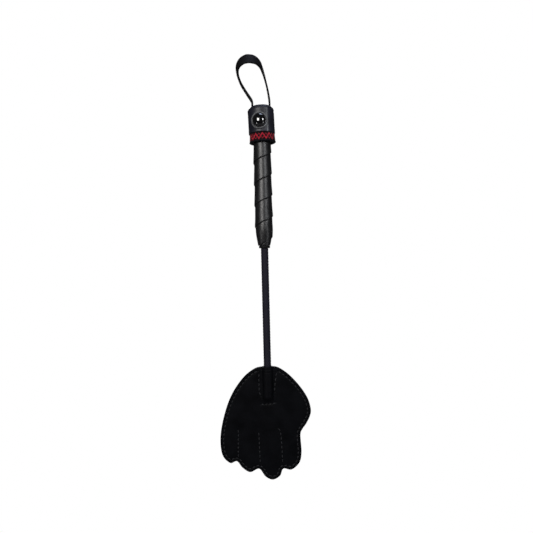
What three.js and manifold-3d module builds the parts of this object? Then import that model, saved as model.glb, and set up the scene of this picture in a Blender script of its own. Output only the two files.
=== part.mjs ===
// A leather hand-shaped swatter: a wound grip with a strap loop, a thin sprung shaft and a stitched hand.
// Millimetres, +Z up along the shaft towards the strap loop, +X to the thumb side, the front faces -Y.
// The origin is the middle of the wound grip, on its axis.

import * as THREE from 'three';
import { mergeVertices } from 'three/addons/utils/BufferGeometryUtils.js';
import Module from 'manifold-3d';

const wasm = await Module();
wasm.setup();

// ---- Driving dimensions (mm) ----

const seatGap = 0.3;            // left between pieces that touch
const roundSteps = 32;          // sides of a round piece
const smallSteps = 16;          // sides of a pin
const capSteps = 48;            // sides of the cap's outer pieces
const seatSteps = 64;           // sides of the round seat under the stud

// Grip
const gripLength = 128;         // from the mouth, where the shaft leaves, to the collar
const gripRadius = 10.3;        // over the leather strip, where a turn starts
const gripLap = 0.9;            // how far a turn's lower edge stands over the turn below
const gripPitch = 25.8;         // one turn of the strip
const gripSeamStart = 0.4;      // height of the seam on the +X side
const gripStrip = 1.3;          // thickness of the strip
const gripTaperLength = 26;     // the cone at the mouth
const gripMouthRadius = 6.1;
const bindingLength = 3;        // the bound edge at the mouth
const bindingRadius = 6.7;
const gripTuck = 1;             // how far the grip reaches into the collar
const rodRecess = 0.5;          // the rod's fixed end stops this far inside the mouth

// Shaft
const rodRadius = 3.2;
const sheathWall = 1.05;        // the braided sleeve over the rod
const shaftLength = 179;        // from the mouth to the rod's tip
const tipCapLength = 6;
const tipCapWall = 1.05;
const tipCapFloor = 1.5;

// Hand
const handWidth = 111.2;
const handLength = 137.8;
const handTop = 144;            // from the mouth of the grip down to the hand's top edge
const leather = 2;              // one layer of the hand
const ridgeLength = 36;         // the raised part over the rod, before it slopes down
const ridgeSlope = 8;
const flexLine = 51;            // the hand bends this far below its top edge
const seamInset = 4;            // the edge seam, in from the edge
const threadWidth = 0.9;
const threadThick = 0.6;
const threadDepth = 0.1;        // the thread lies this far below the leather's face
const pocketLeft = 10.8;        // the seams on each side of the rod
const pocketRight = 7.5;
const pocketSeamTop = 11;
const pocketSeamBottom = 38;
const pocketFloor = 45.5;       // the seam under the rod's tip
const pocketFloorWidth = 18;

// Collar and cap, which stand a little canted on the grip
const capCant = 1.8;            // degrees, the top leaning towards -X
const capOffset = 0.8;          // the cap's foot, towards +X
const cuffRadius = 15.6;        // where the wrap of the cuff starts
const cuffLap = 0.8;            // the cuff's end stands this far over its start
const cuffEdgeAngle = 28;       // degrees from the front towards +X, where the cuff's end lies
const cuffWall = 1.5;
const cuffHeight = 28.9;
const collarHeight = 10.5;
const collarFlare = 16.2;       // radius of the lip at the foot of the collar
const collarLip = 1;
const collarFlange = 1.5;
const bandTopRadius = 15.1;
const bandFootRadius = 15.7;
const bandWall = 0.6;
const collarWall = 0.9;
const capTopThick = 4;
const capTopFlat = 12;          // radius of the flat on top
const capTopRim = 0.8;          // height of the edge below the bevel
const rodIntoBlock = 14;
const glueGap = 1.6;            // round the rod's end in the block

// Stud
const studHeight = 23.9;        // above the collar's foot
const studAngle = -9;           // degrees from the front towards +X
const studRadius = 7.4;
const studDome = 3;
const washerRadius = 9.9;
const washerThick = 1;
const studPostRadius = 1.8;
const studPostLength = 9;

// Strap
const strapWidth = 12.5;
const strapThick = 2.2;
const strapLeft = 10.2;         // from the cap's axis to each end of the strap
const strapRight = 11;
const strapRise = 60.5;         // height of the loop along the strap's lean
const strapLean = 68;           // degrees that the top of the loop leans forward
const strapTwist = 10;          // degrees, the most that the left leg turns its outer face forward
const stubProud = 0.7;          // the strap's fixed ends, above the cap
const tailLength = 16;          // the strap's fixed ends, inside the cap
const tackRadius = 0.8;
const tackHeadRadius = 1.8;
const tackHeadThick = 0.7;
const tackLength = 6;

// ---- Places that follow from them ----

const mouthZ = -gripLength / 2;
const collarZ = gripLength / 2;
const shaftRadius = rodRadius + seatGap + sheathWall;
const shaftPivotZ = mouthZ - shaftRadius - 1.6 * seatGap;
const rodTipZ = mouthZ - shaftLength;
const handTopZ = mouthZ - handTop;
const flexZ = handTopZ - flexLine;
const handHalf = leather + seatGap / 2;
const cuffFoot = collarHeight + seatGap;
const cuffBore = cuffRadius - cuffWall + seatGap;
const blockRadius = cuffBore - seatGap;
const capTopFoot = cuffFoot + cuffHeight + seatGap;
const capTopZ = capTopFoot + capTopThick;
const blockTop = capTopFoot - seatGap;
const stubTop = capTopZ + stubProud;
const strapPivot = stubTop + seatGap + strapWidth / 2;
const strapStraight = strapPivot - capTopZ;
const studReach = cuffRadius + cuffLap;

// ---- Building helpers ----

// A closed geometry as a solid.
function solidOf(geometry) {
  const plain = geometry.index ? geometry.toNonIndexed() : geometry.clone();
  plain.deleteAttribute('normal');
  plain.deleteAttribute('uv');
  const merged = mergeVertices(plain, 1e-4);
  return new wasm.Manifold(new wasm.Mesh({
    numProp: 3,
    vertProperties: merged.attributes.position.array,
    triVerts: new Uint32Array(merged.index.array),
  }));
}

// A solid as a geometry.
function geometryOf(solid) {
  const mesh = solid.getMesh();
  const indexed = new THREE.BufferGeometry();
  indexed.setAttribute('position', new THREE.BufferAttribute(new Float32Array(mesh.vertProperties), 3));
  indexed.setIndex(new THREE.BufferAttribute(new Uint32Array(mesh.triVerts), 1));
  const geometry = indexed.toNonIndexed();
  geometry.computeVertexNormals();
  return geometry;
}

// A round solid about Z from pairs of radius and height. The pairs run upwards on the outside.
function turned(pairs, sides = roundSteps) {
  const points = pairs.map(([radius, height]) => new THREE.Vector2(radius, height));
  const geometry = new THREE.LatheGeometry(points, sides);
  geometry.rotateX(Math.PI / 2);
  return solidOf(geometry);
}

// A plain round bar about Z.
function bar(radius, low, high, sides = roundSteps) {
  return turned([[0, low], [radius, low], [radius, high], [0, high]], sides);
}

// A box from its low and high corners.
function block(low, high) {
  const size = high.map((value, axis) => value - low[axis]);
  const middle = high.map((value, axis) => (value + low[axis]) / 2);
  const geometry = new THREE.BoxGeometry(...size);
  geometry.translate(...middle);
  return solidOf(geometry);
}

// A flat outline drawn in X and Z, cut from a sheet that lies between two values of Y.
function sheet(outline, front, back) {
  const shape = new THREE.Shape(outline);
  const geometry = new THREE.ExtrudeGeometry(shape, { depth: back - front, bevelEnabled: false });
  geometry.rotateX(Math.PI / 2);
  geometry.translate(0, back, 0);
  return solidOf(geometry);
}

// A bar along Y turned about Z, from the axis outwards: angle 0 points to the front.
function pointedForward(solid, angle, height) {
  return solid.rotate([90, 0, 0]).rotate([0, 0, angle]).translate([0, 0, height]);
}

const radians = THREE.MathUtils.degToRad;

// ---- Grip ----

// The grip's outer radius without its laps, which narrows in the cone at the mouth.
function gripRadiusAt(z) {
  const along = THREE.MathUtils.clamp((z - mouthZ) / gripTaperLength, 0, 1);
  return gripMouthRadius + (gripRadius - gripMouthRadius) * Math.sin(along * Math.PI / 2);
}

// The heights that a turned piece of the grip needs points at.
function gripHeights(low, high) {
  const coneTop = mouthZ + gripTaperLength;
  const steps = [0.2, 0.4, 0.6, 0.8, 1].map((share) => mouthZ + gripTaperLength * share);
  return [low, ...steps.filter((z) => z > low && z < high && z <= coneTop), high];
}

// A turned solid that follows the grip at a depth under its face.
function gripInside(depth, low, high) {
  const wall = gripHeights(low, high).map((z) => [gripRadiusAt(z) - depth, z]);
  return turned([[0, low], ...wall, [0, high]]);
}

// A leather strip wound in a helix: each turn thickens downwards, and its lower edge laps over the next.
function gripWrap() {
  const low = mouthZ + bindingLength + seatGap;
  const high = collarZ + gripTuck;
  const rows = [[0, 0], [0, 0.7], [0.03, 1], [0.5, 0.4]];    // share of the pitch, share of the lap
  const turnsBelow = Math.ceil((gripSeamStart - low) / gripPitch) + 1;
  const turnsAbove = Math.ceil((high - gripSeamStart) / gripPitch) + 1;
  const rowCount = (turnsBelow + turnsAbove) * rows.length;
  const start = gripSeamStart - turnsBelow * gripPitch;
  const positions = [];
  const addPoint = (column, row) => {
    const [share, lap] = rows[row % rows.length];
    const turn = Math.floor(row / rows.length) + share + column / roundSteps;
    const z = start + turn * gripPitch;
    const angle = column / roundSteps * 2 * Math.PI;
    const radius = gripRadiusAt(z) + lap * gripLap;
    positions.push(radius * Math.cos(angle), radius * Math.sin(angle), z);
  };
  // The first column is one turn longer, because the last column joins it a turn higher.
  const first = rowCount + rows.length;
  for (let row = 0; row <= first; row++) addPoint(0, row);
  for (let column = 1; column < roundSteps; column++) {
    for (let row = 0; row <= rowCount; row++) addPoint(column, row);
  }
  const at = (column, row) => {
    if (column === roundSteps) return row + rows.length;
    return column === 0 ? row : first + 1 + (column - 1) * (rowCount + 1) + row;
  };
  const faces = [];
  for (let column = 0; column < roundSteps; column++) {
    for (let row = 0; row < rowCount; row++) {
      faces.push(at(column, row), at(column + 1, row), at(column + 1, row + 1));
      faces.push(at(column, row), at(column + 1, row + 1), at(column, row + 1));
    }
  }
  const foot = positions.length / 3;
  positions.push(0, 0, start - gripPitch, 0, 0, start + gripPitch * (turnsBelow + turnsAbove + 2));
  for (let column = 0; column < roundSteps; column++) {
    faces.push(foot, at(column + 1, 0), at(column, 0));
    faces.push(foot + 1, at(column, rowCount), at(column + 1, rowCount));
  }
  for (let row = 0; row < rows.length; row++) {
    faces.push(foot, row, row + 1);
    faces.push(foot + 1, rowCount + row + 1, rowCount + row);
  }
  const geometry = new THREE.BufferGeometry();
  geometry.setAttribute('position', new THREE.BufferAttribute(new Float32Array(positions), 3));
  geometry.setIndex(faces);
  const wide = 3 * gripRadius;
  return solidOf(geometry)
    .intersect(block([-wide, -wide, low], [wide, wide, high]))
    .subtract(gripInside(gripStrip, low - 1, high + 1));
}

function handleCore() {
  const low = mouthZ + bindingLength + 2 * seatGap;
  const high = collarZ + gripTuck;
  return gripInside(gripStrip + seatGap, low, high).subtract(bar(rodRadius + seatGap, low - 1, high + 1));
}

function gripBinding() {
  const inner = shaftRadius + 0.5 * seatGap;
  const bevel = 0.5;
  const high = mouthZ + bindingLength;
  return turned([
    [inner, mouthZ], [bindingRadius - bevel, mouthZ], [bindingRadius, mouthZ + bevel],
    [bindingRadius, high - bevel], [bindingRadius - bevel, high], [inner, high], [inner, mouthZ],
  ]);
}

// The rod's fixed end, which runs up through the grip into the cap's block.
function rodInGrip() {
  return bar(rodRadius, mouthZ + rodRecess, collarZ + rodIntoBlock);
}

// ---- Shaft ----

// The top of the shaft is rounded about its pivot, so that it turns under the grip's mouth.
function shaftTop(inner, outer) {
  const points = [];
  const steps = 5;
  const start = Math.acos(outer / shaftRadius);
  const end = Math.acos(inner / shaftRadius);
  for (let i = 0; i <= steps; i++) {
    const angle = start + (end - start) * i / steps;
    points.push([shaftRadius * Math.cos(angle), shaftPivotZ + shaftRadius * Math.sin(angle)]);
  }
  points[steps][0] = inner;
  return points;
}

function shaftRod() {
  const low = rodTipZ + tipCapFloor + seatGap;
  return turned([[0, low], [rodRadius, low], ...shaftTop(0, rodRadius)]);
}

function shaftSheath() {
  const low = rodTipZ + tipCapLength + seatGap;
  const inner = rodRadius + seatGap;
  return turned([[inner, low], [shaftRadius, low], ...shaftTop(inner, shaftRadius), [inner, low]]);
}

function rodTipCap() {
  const high = rodTipZ + tipCapLength;
  const inner = rodRadius + seatGap;
  const outer = inner + tipCapWall;
  const floor = rodTipZ + tipCapFloor;
  const bevel = 1;
  return turned([
    [0, rodTipZ], [outer - bevel, rodTipZ], [outer, rodTipZ + bevel], [outer, high],
    [inner, high], [inner, floor], [0, floor],
  ]);
}

// ---- Hand ----

// The hand's cutting pattern, drawn for a hand 111.2 wide and 137.8 long: from the mouth down the little
// finger's side, round the four fingertips and up over the thumb, in X and in depth below the top edge.
const patternWidth = 111.2;
const patternLength = 137.8;
const pattern = [
  [-4.5, 0], [-15.4, 2.2], [-29.8, 13], [-44.4, 33.4], [-53.9, 57.6], [-59.2, 84], [-57.5, 105.8],
  [-48.4, 116.3], [-39.9, 114.5],                          // little finger and its notch
  [-33.2, 122.5], [-24, 128], [-13.1, 124.2],              // ring finger and its notch
  [-5.6, 133.8], [3.2, 137.8], [12, 133.4], [16.3, 124.8], // middle finger and its notch
  [26.4, 126], [36, 117.8], [38.9, 105],                   // forefinger
  [38.1, 84], [41, 76.6], [45, 71.3], [49.8, 62.3], [51.5, 53.6],  // the notch and the thumb
  [48.1, 40.3], [38.9, 25.4], [25.5, 10.5], [13, 1.7], [4.5, 0],
];

// A point of the pattern on the hand.
function onHand(x, down) {
  return new THREE.Vector2(x * handWidth / patternWidth, handTopZ - down * handLength / patternLength);
}

function handOutline() {
  const knots = pattern.map(([x, down]) => onHand(x, down));
  return new THREE.SplineCurve(knots).getPoints(4 * (knots.length - 1));
}

// A line moved sideways: a positive distance moves it to its left as it runs.
function shifted(line, distance) {
  return line.map((point, i) => {
    const before = line[Math.max(i - 1, 0)];
    const after = line[Math.min(i + 1, line.length - 1)];
    const along = new THREE.Vector2().subVectors(after, before).normalize();
    return new THREE.Vector2(point.x - along.y * distance, point.y + along.x * distance);
  });
}

// The seam inside the outline, which starts and ends beside the rod and stops at the flex line.
function edgeSeamLines() {
  const line = shifted(handOutline(), seamInset);
  const clearOfMouth = pocketLeft + seamInset;
  const clearOfFlex = 2 * threadWidth;
  const upper = line.filter((point) => point.y > flexZ + handHalf + seatGap + clearOfFlex);
  return {
    edge_seam_left: upper.filter((point) => point.x < -clearOfMouth),
    edge_seam_right: upper.filter((point) => point.x > clearOfMouth),
    edge_seam_fingers: line.filter((point) => point.y < flexZ - clearOfFlex),
  };
}

// The seams on each side of the rod and under its tip.
function pocketSeamLines() {
  const top = handTopZ - pocketSeamTop;
  const bottom = handTopZ - pocketSeamBottom;
  const floor = handTopZ - pocketFloor;
  const half = pocketFloorWidth / 2;
  return {
    pocket_seam_left: [new THREE.Vector2(-pocketLeft, top), new THREE.Vector2(-pocketLeft, bottom)],
    pocket_seam_right: [new THREE.Vector2(pocketRight, top), new THREE.Vector2(pocketRight, bottom)],
    pocket_seam_floor: [new THREE.Vector2(-half, floor), new THREE.Vector2(half, floor)],
  };
}

// The seams that draw the gaps between the fingers, from the palm down to each notch.
function fingerSeamLines() {
  return {
    finger_seam_little: [onHand(-37.4, 77.5), onHand(-38.2, 106.5)],
    finger_seam_middle: [onHand(-12.6, 81), onHand(-11.6, 116)],
    finger_seam_fore: [onHand(12.2, 77), onHand(14.2, 83), onHand(15.7, 116.5)],
  };
}

// A seam: a run of thread on the front, one on the back, and a leg through the leather at each end.
// With room above zero it is the groove and the holes that the thread lies in.
function seamSolid(line, room = 0) {
  const half = threadWidth / 2 + room;
  const face = handHalf - threadDepth + 2 * room;
  const floor = handHalf - threadDepth - threadThick - room;
  const inward = line.map((point) => point.clone());
  const last = line.length - 1;
  const stretch = (end, next) => {
    const away = new THREE.Vector2().subVectors(line[end], line[next]).normalize();
    inward[end].addScaledVector(away, room);
  };
  stretch(0, 1);
  stretch(last, last - 1);
  const outline = [...shifted(inward, half), ...shifted(inward, -half).reverse()];
  const legs = [[0, 1], [last, last - 1]].map(([end, next]) => {
    const into = new THREE.Vector2().subVectors(line[next], line[end]).normalize();
    const middle = line[end].clone().addScaledVector(into, threadWidth / 2);
    return block(
      [middle.x - half, -floor - threadThick / 2, middle.y - half],
      [middle.x + half, floor + threadThick / 2, middle.y + half],
    );
  });
  return sheet(outline, -face, -floor).add(sheet(outline, floor, face)).add(legs[0]).add(legs[1]);
}

// The space on each side of the flex line: the lower part is rounded about it, and the upper part clears it.
function aboveFlex(rounding) {
  const wide = handWidth;
  return block([-wide, -wide, flexZ + rounding], [wide, wide, handTopZ + wide]);
}

function belowFlex() {
  const wide = handWidth;
  const roll = bar(handHalf, -wide, wide).rotate([0, 90, 0]).translate([0, 0, flexZ]);
  return block([-wide, -wide, flexZ - 2 * handLength], [wide, wide, flexZ]).add(roll);
}

// The raised leather over the rod, which slopes down past the rod's tip.
function ridge() {
  const slopeTop = handTopZ - ridgeLength;
  const slopeFoot = slopeTop - ridgeSlope;
  const radius = shaftRadius + seatGap + leather;
  return turned([
    [0, slopeFoot], [handHalf, slopeFoot], [radius, slopeTop], [radius, handTopZ], [0, handTopZ],
  ]);
}

function rodChannel() {
  return bar(shaftRadius + seatGap, rodTipZ - seatGap, handTopZ + 1);
}

// One layer of the hand, on the front (side -1) or on the back (side 1), with its grooves.
function handLayer(side, seams) {
  const near = seatGap / 2;
  const flat = side < 0 ? sheet(handOutline(), -handHalf, -near) : sheet(handOutline(), near, handHalf);
  const deep = 4 * shaftRadius;
  const half = side < 0
    ? block([-deep, -deep, handTopZ - handLength], [deep, -near, handTopZ + 1])
    : block([-deep, near, handTopZ - handLength], [deep, deep, handTopZ + 1]);
  let layer = flat.add(ridge().intersect(half)).subtract(rodChannel());
  for (const line of seams) layer = layer.subtract(seamSolid(line, seatGap));
  return layer;
}

// ---- Collar and cap, drawn on the cap's own axis with the collar's foot at zero ----

const bandFoot = collarLip + seatGap;
const bandTop = collarHeight - 0.2;

// The collar's outer radius under the band.
function bandSeatAt(z) {
  const share = (z - bandFoot) / (bandTop - bandFoot);
  return THREE.MathUtils.lerp(bandFootRadius, bandTopRadius, share) - bandWall - seatGap;
}

function collarSkirt() {
  const bore = gripRadius + gripLap + capOffset + 1.7 * seatGap;
  const seat = bandSeatAt(collarHeight);
  const wall = seat - collarWall;
  return turned([
    [bore, 0], [collarFlare - 0.6, 0], [collarFlare, 0.6], [collarFlare - 0.1, collarLip],
    [bandSeatAt(collarLip), collarLip], [seat, collarHeight], [wall, collarHeight],
    [wall, collarFlange], [bore, collarFlange], [bore, 0],
  ]);
}

function redBand() {
  return turned([
    [bandFootRadius - bandWall, bandFoot], [bandFootRadius, bandFoot], [bandTopRadius, bandTop],
    [bandTopRadius - bandWall, bandTop], [bandFootRadius - bandWall, bandFoot],
  ], capSteps);
}

// The cuff: a wide leather strip wound once, so that its radius grows round the turn and ends in a step.
function capCuff() {
  const bevel = 0.5;
  const start = radians(cuffEdgeAngle - 90);
  const outline = [];
  for (let i = 0; i <= capSteps; i++) {
    const share = i / capSteps;
    const angle = start + share * 2 * Math.PI;
    const radius = cuffRadius + cuffLap * share;
    outline.push(new THREE.Vector2(radius * Math.cos(angle), radius * Math.sin(angle)));
  }
  const geometry = new THREE.ExtrudeGeometry(new THREE.Shape(outline), {
    depth: cuffHeight - 2 * bevel,
    bevelEnabled: true,
    bevelThickness: bevel,
    bevelSize: bevel,
    bevelOffset: -bevel,
    bevelSegments: 1,
  });
  geometry.translate(0, 0, cuffFoot + bevel);
  return solidOf(geometry).subtract(bar(cuffBore, 0, capTopZ, capSteps)).subtract(studHole());
}

function capTop() {
  const rim = cuffRadius - seatGap;
  return turned([
    [0, capTopFoot], [rim, capTopFoot], [rim, capTopFoot + capTopRim], [capTopFlat, capTopZ], [0, capTopZ],
  ], capSteps).subtract(strapRoom());
}

function pommelBlock() {
  const low = collarFlange + seatGap;
  const neck = bandSeatAt(collarHeight) - collarWall - seatGap;
  const solid = turned([
    [0, low], [neck, low], [neck, cuffFoot], [blockRadius, cuffFoot], [blockRadius, blockTop], [0, blockTop],
  ]);
  const bore = bar(rodRadius + glueGap, 0, rodIntoBlock + 2);
  return solid.subtract(bore).subtract(strapRoom()).subtract(studHole()).subtract(tackRoom());
}

// ---- Stud ----

const studPostTip = studReach + seatGap + washerThick;
const studPostFoot = studPostTip - studPostLength;

function studHole() {
  const hole = bar(studPostRadius + seatGap, studPostFoot - seatGap, 2 * studReach, smallSteps);
  return pointedForward(hole, studAngle, studHeight);
}

function studPost() {
  return pointedForward(bar(studPostRadius, studPostFoot, studPostTip, smallSteps), studAngle, studHeight);
}

// A leather washer curved round the cuff.
function studWasher() {
  const inner = studReach + seatGap;
  const low = studHeight - 2 * washerRadius;
  const high = studHeight + 2 * washerRadius;
  const shell = bar(inner + washerThick, low, high, seatSteps)
    .subtract(bar(inner, low - washerRadius, high + washerRadius, seatSteps));
  const disc = pointedForward(bar(washerRadius, 0, 2 * studReach), studAngle, studHeight);
  return shell.intersect(disc).subtract(studHole());
}

// The domed stud, hollowed underneath to sit on the curved washer.
function studCap() {
  const seat = studReach + seatGap + washerThick + seatGap;
  const steps = 6;
  const points = [[0, seat / 2], [studRadius, seat / 2], [studRadius, seat + 0.5]];
  for (let i = 1; i <= steps; i++) {
    const angle = i / steps * Math.PI / 2;
    points.push([i === steps ? 0 : studRadius * Math.cos(angle), seat + 0.5 + studDome * Math.sin(angle)]);
  }
  return pointedForward(turned(points), studAngle, studHeight)
    .subtract(bar(seat, studHeight - 3 * studRadius, studHeight + 3 * studRadius, seatSteps));
}

// ---- Strap ----

// The strap's fixed end on one side, from its place across the cap.
function tailBox(x, room) {
  const half = strapThick / 2 + room;
  const wide = strapWidth / 2 + room;
  return block([x - half, -wide, blockTop - tailLength - room], [x + half, wide, stubTop + 5 * room]);
}

// The room for both ends of the strap, open outwards to the cuff.
function strapRoom() {
  const outwards = 2 * strapThick;
  const openOutwards = tailBox(-strapLeft - outwards / 2, seatGap)
    .add(tailBox(strapRight + outwards / 2, seatGap))
    .intersect(belowCapTop());
  return tailBox(-strapLeft, seatGap).add(tailBox(strapRight, seatGap)).add(openOutwards);
}

function belowCapTop() {
  const wide = 3 * cuffRadius;
  return block([-wide, -wide, 0], [wide, wide, blockTop]);
}

const tackHeight = blockTop - tailLength / 2;

// A tack along X that holds one end of the strap to the block. Side is -1 or 1.
function tack(side, place, room) {
  const face = place + strapThick / 2 + seatGap - room;
  const head = bar(tackHeadRadius + room, face, face + tackHeadThick + 2 * room, smallSteps);
  const shank = bar(tackRadius + room, face - tackLength - room, face + tackHeadThick / 2, smallSteps);
  return head.add(shank).rotate([0, 90 * side, 0]).translate([0, 0, tackHeight]);
}

function tackRoom() {
  return tack(-1, strapLeft, seatGap).add(tack(1, strapRight, seatGap));
}

function strapTail(side, place) {
  const shank = bar(tackRadius + seatGap, 0, 2 * cuffRadius, smallSteps)
    .rotate([0, 90 * side, 0])
    .translate([0, 0, tackHeight]);
  return tailBox(side * place, 0).subtract(shank);
}

// The loop's middle line before it leans: across the cap, and along the strap above the cap's top.
const loopLine = [
  [-strapLeft, 0], [-strapLeft, strapStraight], [-15.2, 16], [-21.4, 27], [-25, 38], [-25.2, 48],
  [-21, 56], [-13.5, strapRise], [-4.5, 58.5], [1.6, 51.5], [5.2, 40.5], [8, 28.5],
  [10, 17], [strapRight, strapStraight], [strapRight, 0],
];

// How far the strap has leant at a height along it: the lean grows evenly above its straight root.
function leanAt(along) {
  const bend = radians(strapLean) / (strapRise - strapStraight);
  const angle = Math.max(along - strapStraight, 0) * bend;
  return {
    angle,
    forward: (1 - Math.cos(angle)) / bend,
    up: Math.min(along, strapStraight) + Math.sin(angle) / bend,
  };
}

// The loop: a flat strap carried round its line, leaning forward as it rises. Its left leg also twists.
function strapLoop() {
  const steps = 56;
  const knots = loopLine.map(([x, along]) => new THREE.Vector2(x, along));
  const curve = new THREE.SplineCurve(knots);
  const top = Math.max(...loopLine.map(([, along]) => along));
  const positions = [];
  for (let i = 0; i <= steps; i++) {
    const share = i / steps;
    const point = curve.getPointAt(share);
    const tangent = curve.getTangentAt(share);
    const lean = leanAt(point.y);
    const up = new THREE.Vector3(0, -Math.sin(lean.angle), Math.cos(lean.angle));
    const across = new THREE.Vector3(1, 0, 0);
    const back = new THREE.Vector3(0, Math.cos(lean.angle), Math.sin(lean.angle));
    const outward = across.clone().multiplyScalar(-tangent.y).addScaledVector(up, tangent.x);
    const most = point.x < -strapLeft / 2 ? strapTwist : 0;
    const rise = THREE.MathUtils.clamp((point.y - strapStraight) / (top - strapStraight), 0, 1);
    const twist = radians(most) * Math.sin(Math.PI * rise);
    const wide = back.clone().multiplyScalar(Math.cos(twist)).addScaledVector(outward, Math.sin(twist));
    const thick = outward.clone().multiplyScalar(Math.cos(twist)).addScaledVector(back, -Math.sin(twist));
    const middle = new THREE.Vector3(point.x, -lean.forward, capTopZ + lean.up);
    for (const [w, t] of [[-1, -1], [1, -1], [1, 1], [-1, 1]]) {
      const corner = middle.clone()
        .addScaledVector(wide, w * strapWidth / 2)
        .addScaledVector(thick, t * strapThick / 2);
      positions.push(corner.x, corner.y, corner.z);
    }
  }
  const faces = [0, 2, 1, 0, 3, 2];
  const last = 4 * steps;
  faces.push(last, last + 1, last + 2, last, last + 2, last + 3);
  for (let i = 0; i < steps; i++) {
    for (let side = 0; side < 4; side++) {
      const a = 4 * i + side;
      const b = 4 * i + (side + 1) % 4;
      faces.push(a, b + 4, a + 4, a, b, b + 4);
    }
  }
  const geometry = new THREE.BufferGeometry();
  geometry.setAttribute('position', new THREE.BufferAttribute(new Float32Array(positions), 3));
  geometry.setIndex(faces);
  return solidOf(geometry).subtract(belowPivot());
}

// What is cut off below the loop's pivot, which leaves each end rounded about it.
function belowPivot() {
  const wide = 4 * strapRise;
  const round = bar(strapWidth / 2, -wide, wide).rotate([0, 90, 0]).translate([0, 0, strapPivot]);
  return block([-wide, -wide, 0], [wide, wide, strapPivot]).subtract(round);
}

// ---- Materials ----

function finish(color, roughness, metalness = 0) {
  return new THREE.MeshStandardMaterial({ color, roughness, metalness });
}

const finishes = {
  gripLeather: finish(0x2b2b2e, 0.42),
  capLeather: finish(0x2a2a30, 0.4),
  handLeather: finish(0x101013, 0.6),
  strapLeather: finish(0x1c1c1e, 0.5),
  braid: finish(0x15151f, 0.55),
  ribbon: finish(0x9e1c2a, 0.8),
  thread: finish(0x3c3c40, 0.8),
  blackEnamel: finish(0x08080a, 0.12),
  wood: finish(0xa88a5c, 0.7),
  fibreglass: finish(0xd8d2b8, 0.4),
  rubber: finish(0x1a1a1a, 0.8),
  steel: finish(0x9a9a9a, 0.35, 1),
};

// ---- The whole object ----

const swatter = new THREE.Group();

function place(parent, name, solid, material) {
  const mesh = new THREE.Mesh(geometryOf(solid), material);
  mesh.name = name;
  parent.add(mesh);
}

function addHandle() {
  place(swatter, 'rod_in_grip', rodInGrip(), finishes.fibreglass);
  place(swatter, 'handle_core', handleCore(), finishes.wood);
  place(swatter, 'grip_wrap', gripWrap(), finishes.gripLeather);
  place(swatter, 'grip_binding', gripBinding(), finishes.gripLeather);
}

function addCap() {
  const cap = new THREE.Group();
  cap.position.set(capOffset, 0, collarZ);
  cap.rotation.y = -radians(capCant);
  swatter.add(cap);
  place(cap, 'pommel_block', pommelBlock(), finishes.wood);
  place(cap, 'collar_skirt', collarSkirt(), finishes.capLeather);
  place(cap, 'red_band', redBand(), finishes.ribbon);
  place(cap, 'cap_cuff', capCuff(), finishes.capLeather);
  place(cap, 'cap_top', capTop(), finishes.capLeather);
  place(cap, 'stud_post', studPost(), finishes.steel);
  place(cap, 'stud_washer', studWasher(), finishes.capLeather);
  place(cap, 'stud_cap', studCap(), finishes.blackEnamel);
  place(cap, 'strap_tail_left', strapTail(-1, strapLeft), finishes.strapLeather);
  place(cap, 'strap_tail_right', strapTail(1, strapRight), finishes.strapLeather);
  place(cap, 'strap_tack_left', tack(-1, strapLeft, 0), finishes.steel);
  place(cap, 'strap_tack_right', tack(1, strapRight, 0), finishes.steel);
  place(cap, 'wrist_strap', strapLoop(), finishes.strapLeather);
}

function addShaft() {
  place(swatter, 'shaft_rod', shaftRod(), finishes.fibreglass);
  place(swatter, 'shaft_sheath', shaftSheath(), finishes.braid);
  place(swatter, 'rod_tip_cap', rodTipCap(), finishes.rubber);
}

function addHand() {
  const seams = { ...edgeSeamLines(), ...pocketSeamLines(), ...fingerSeamLines() };
  for (const [name, side] of [['hand_front', -1], ['hand_back', 1]]) {
    const layer = handLayer(side, Object.values(seams));
    place(swatter, name + '_upper', layer.intersect(aboveFlex(handHalf + seatGap)), finishes.handLeather);
    place(swatter, name + '_lower', layer.intersect(belowFlex()), finishes.handLeather);
  }
  for (const [name, line] of Object.entries(seams)) {
    place(swatter, name, seamSolid(line), finishes.thread);
  }
}

addHandle();
addCap();
addShaft();
addHand();

export default swatter;
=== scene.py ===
"""A leather hand-shaped swatter: its fine surfaces and finishes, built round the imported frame."""

import math

import bmesh
import bpy
import numpy as np
from mathutils import Matrix, Vector
from mathutils.geometry import delaunay_2d_cdt


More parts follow.
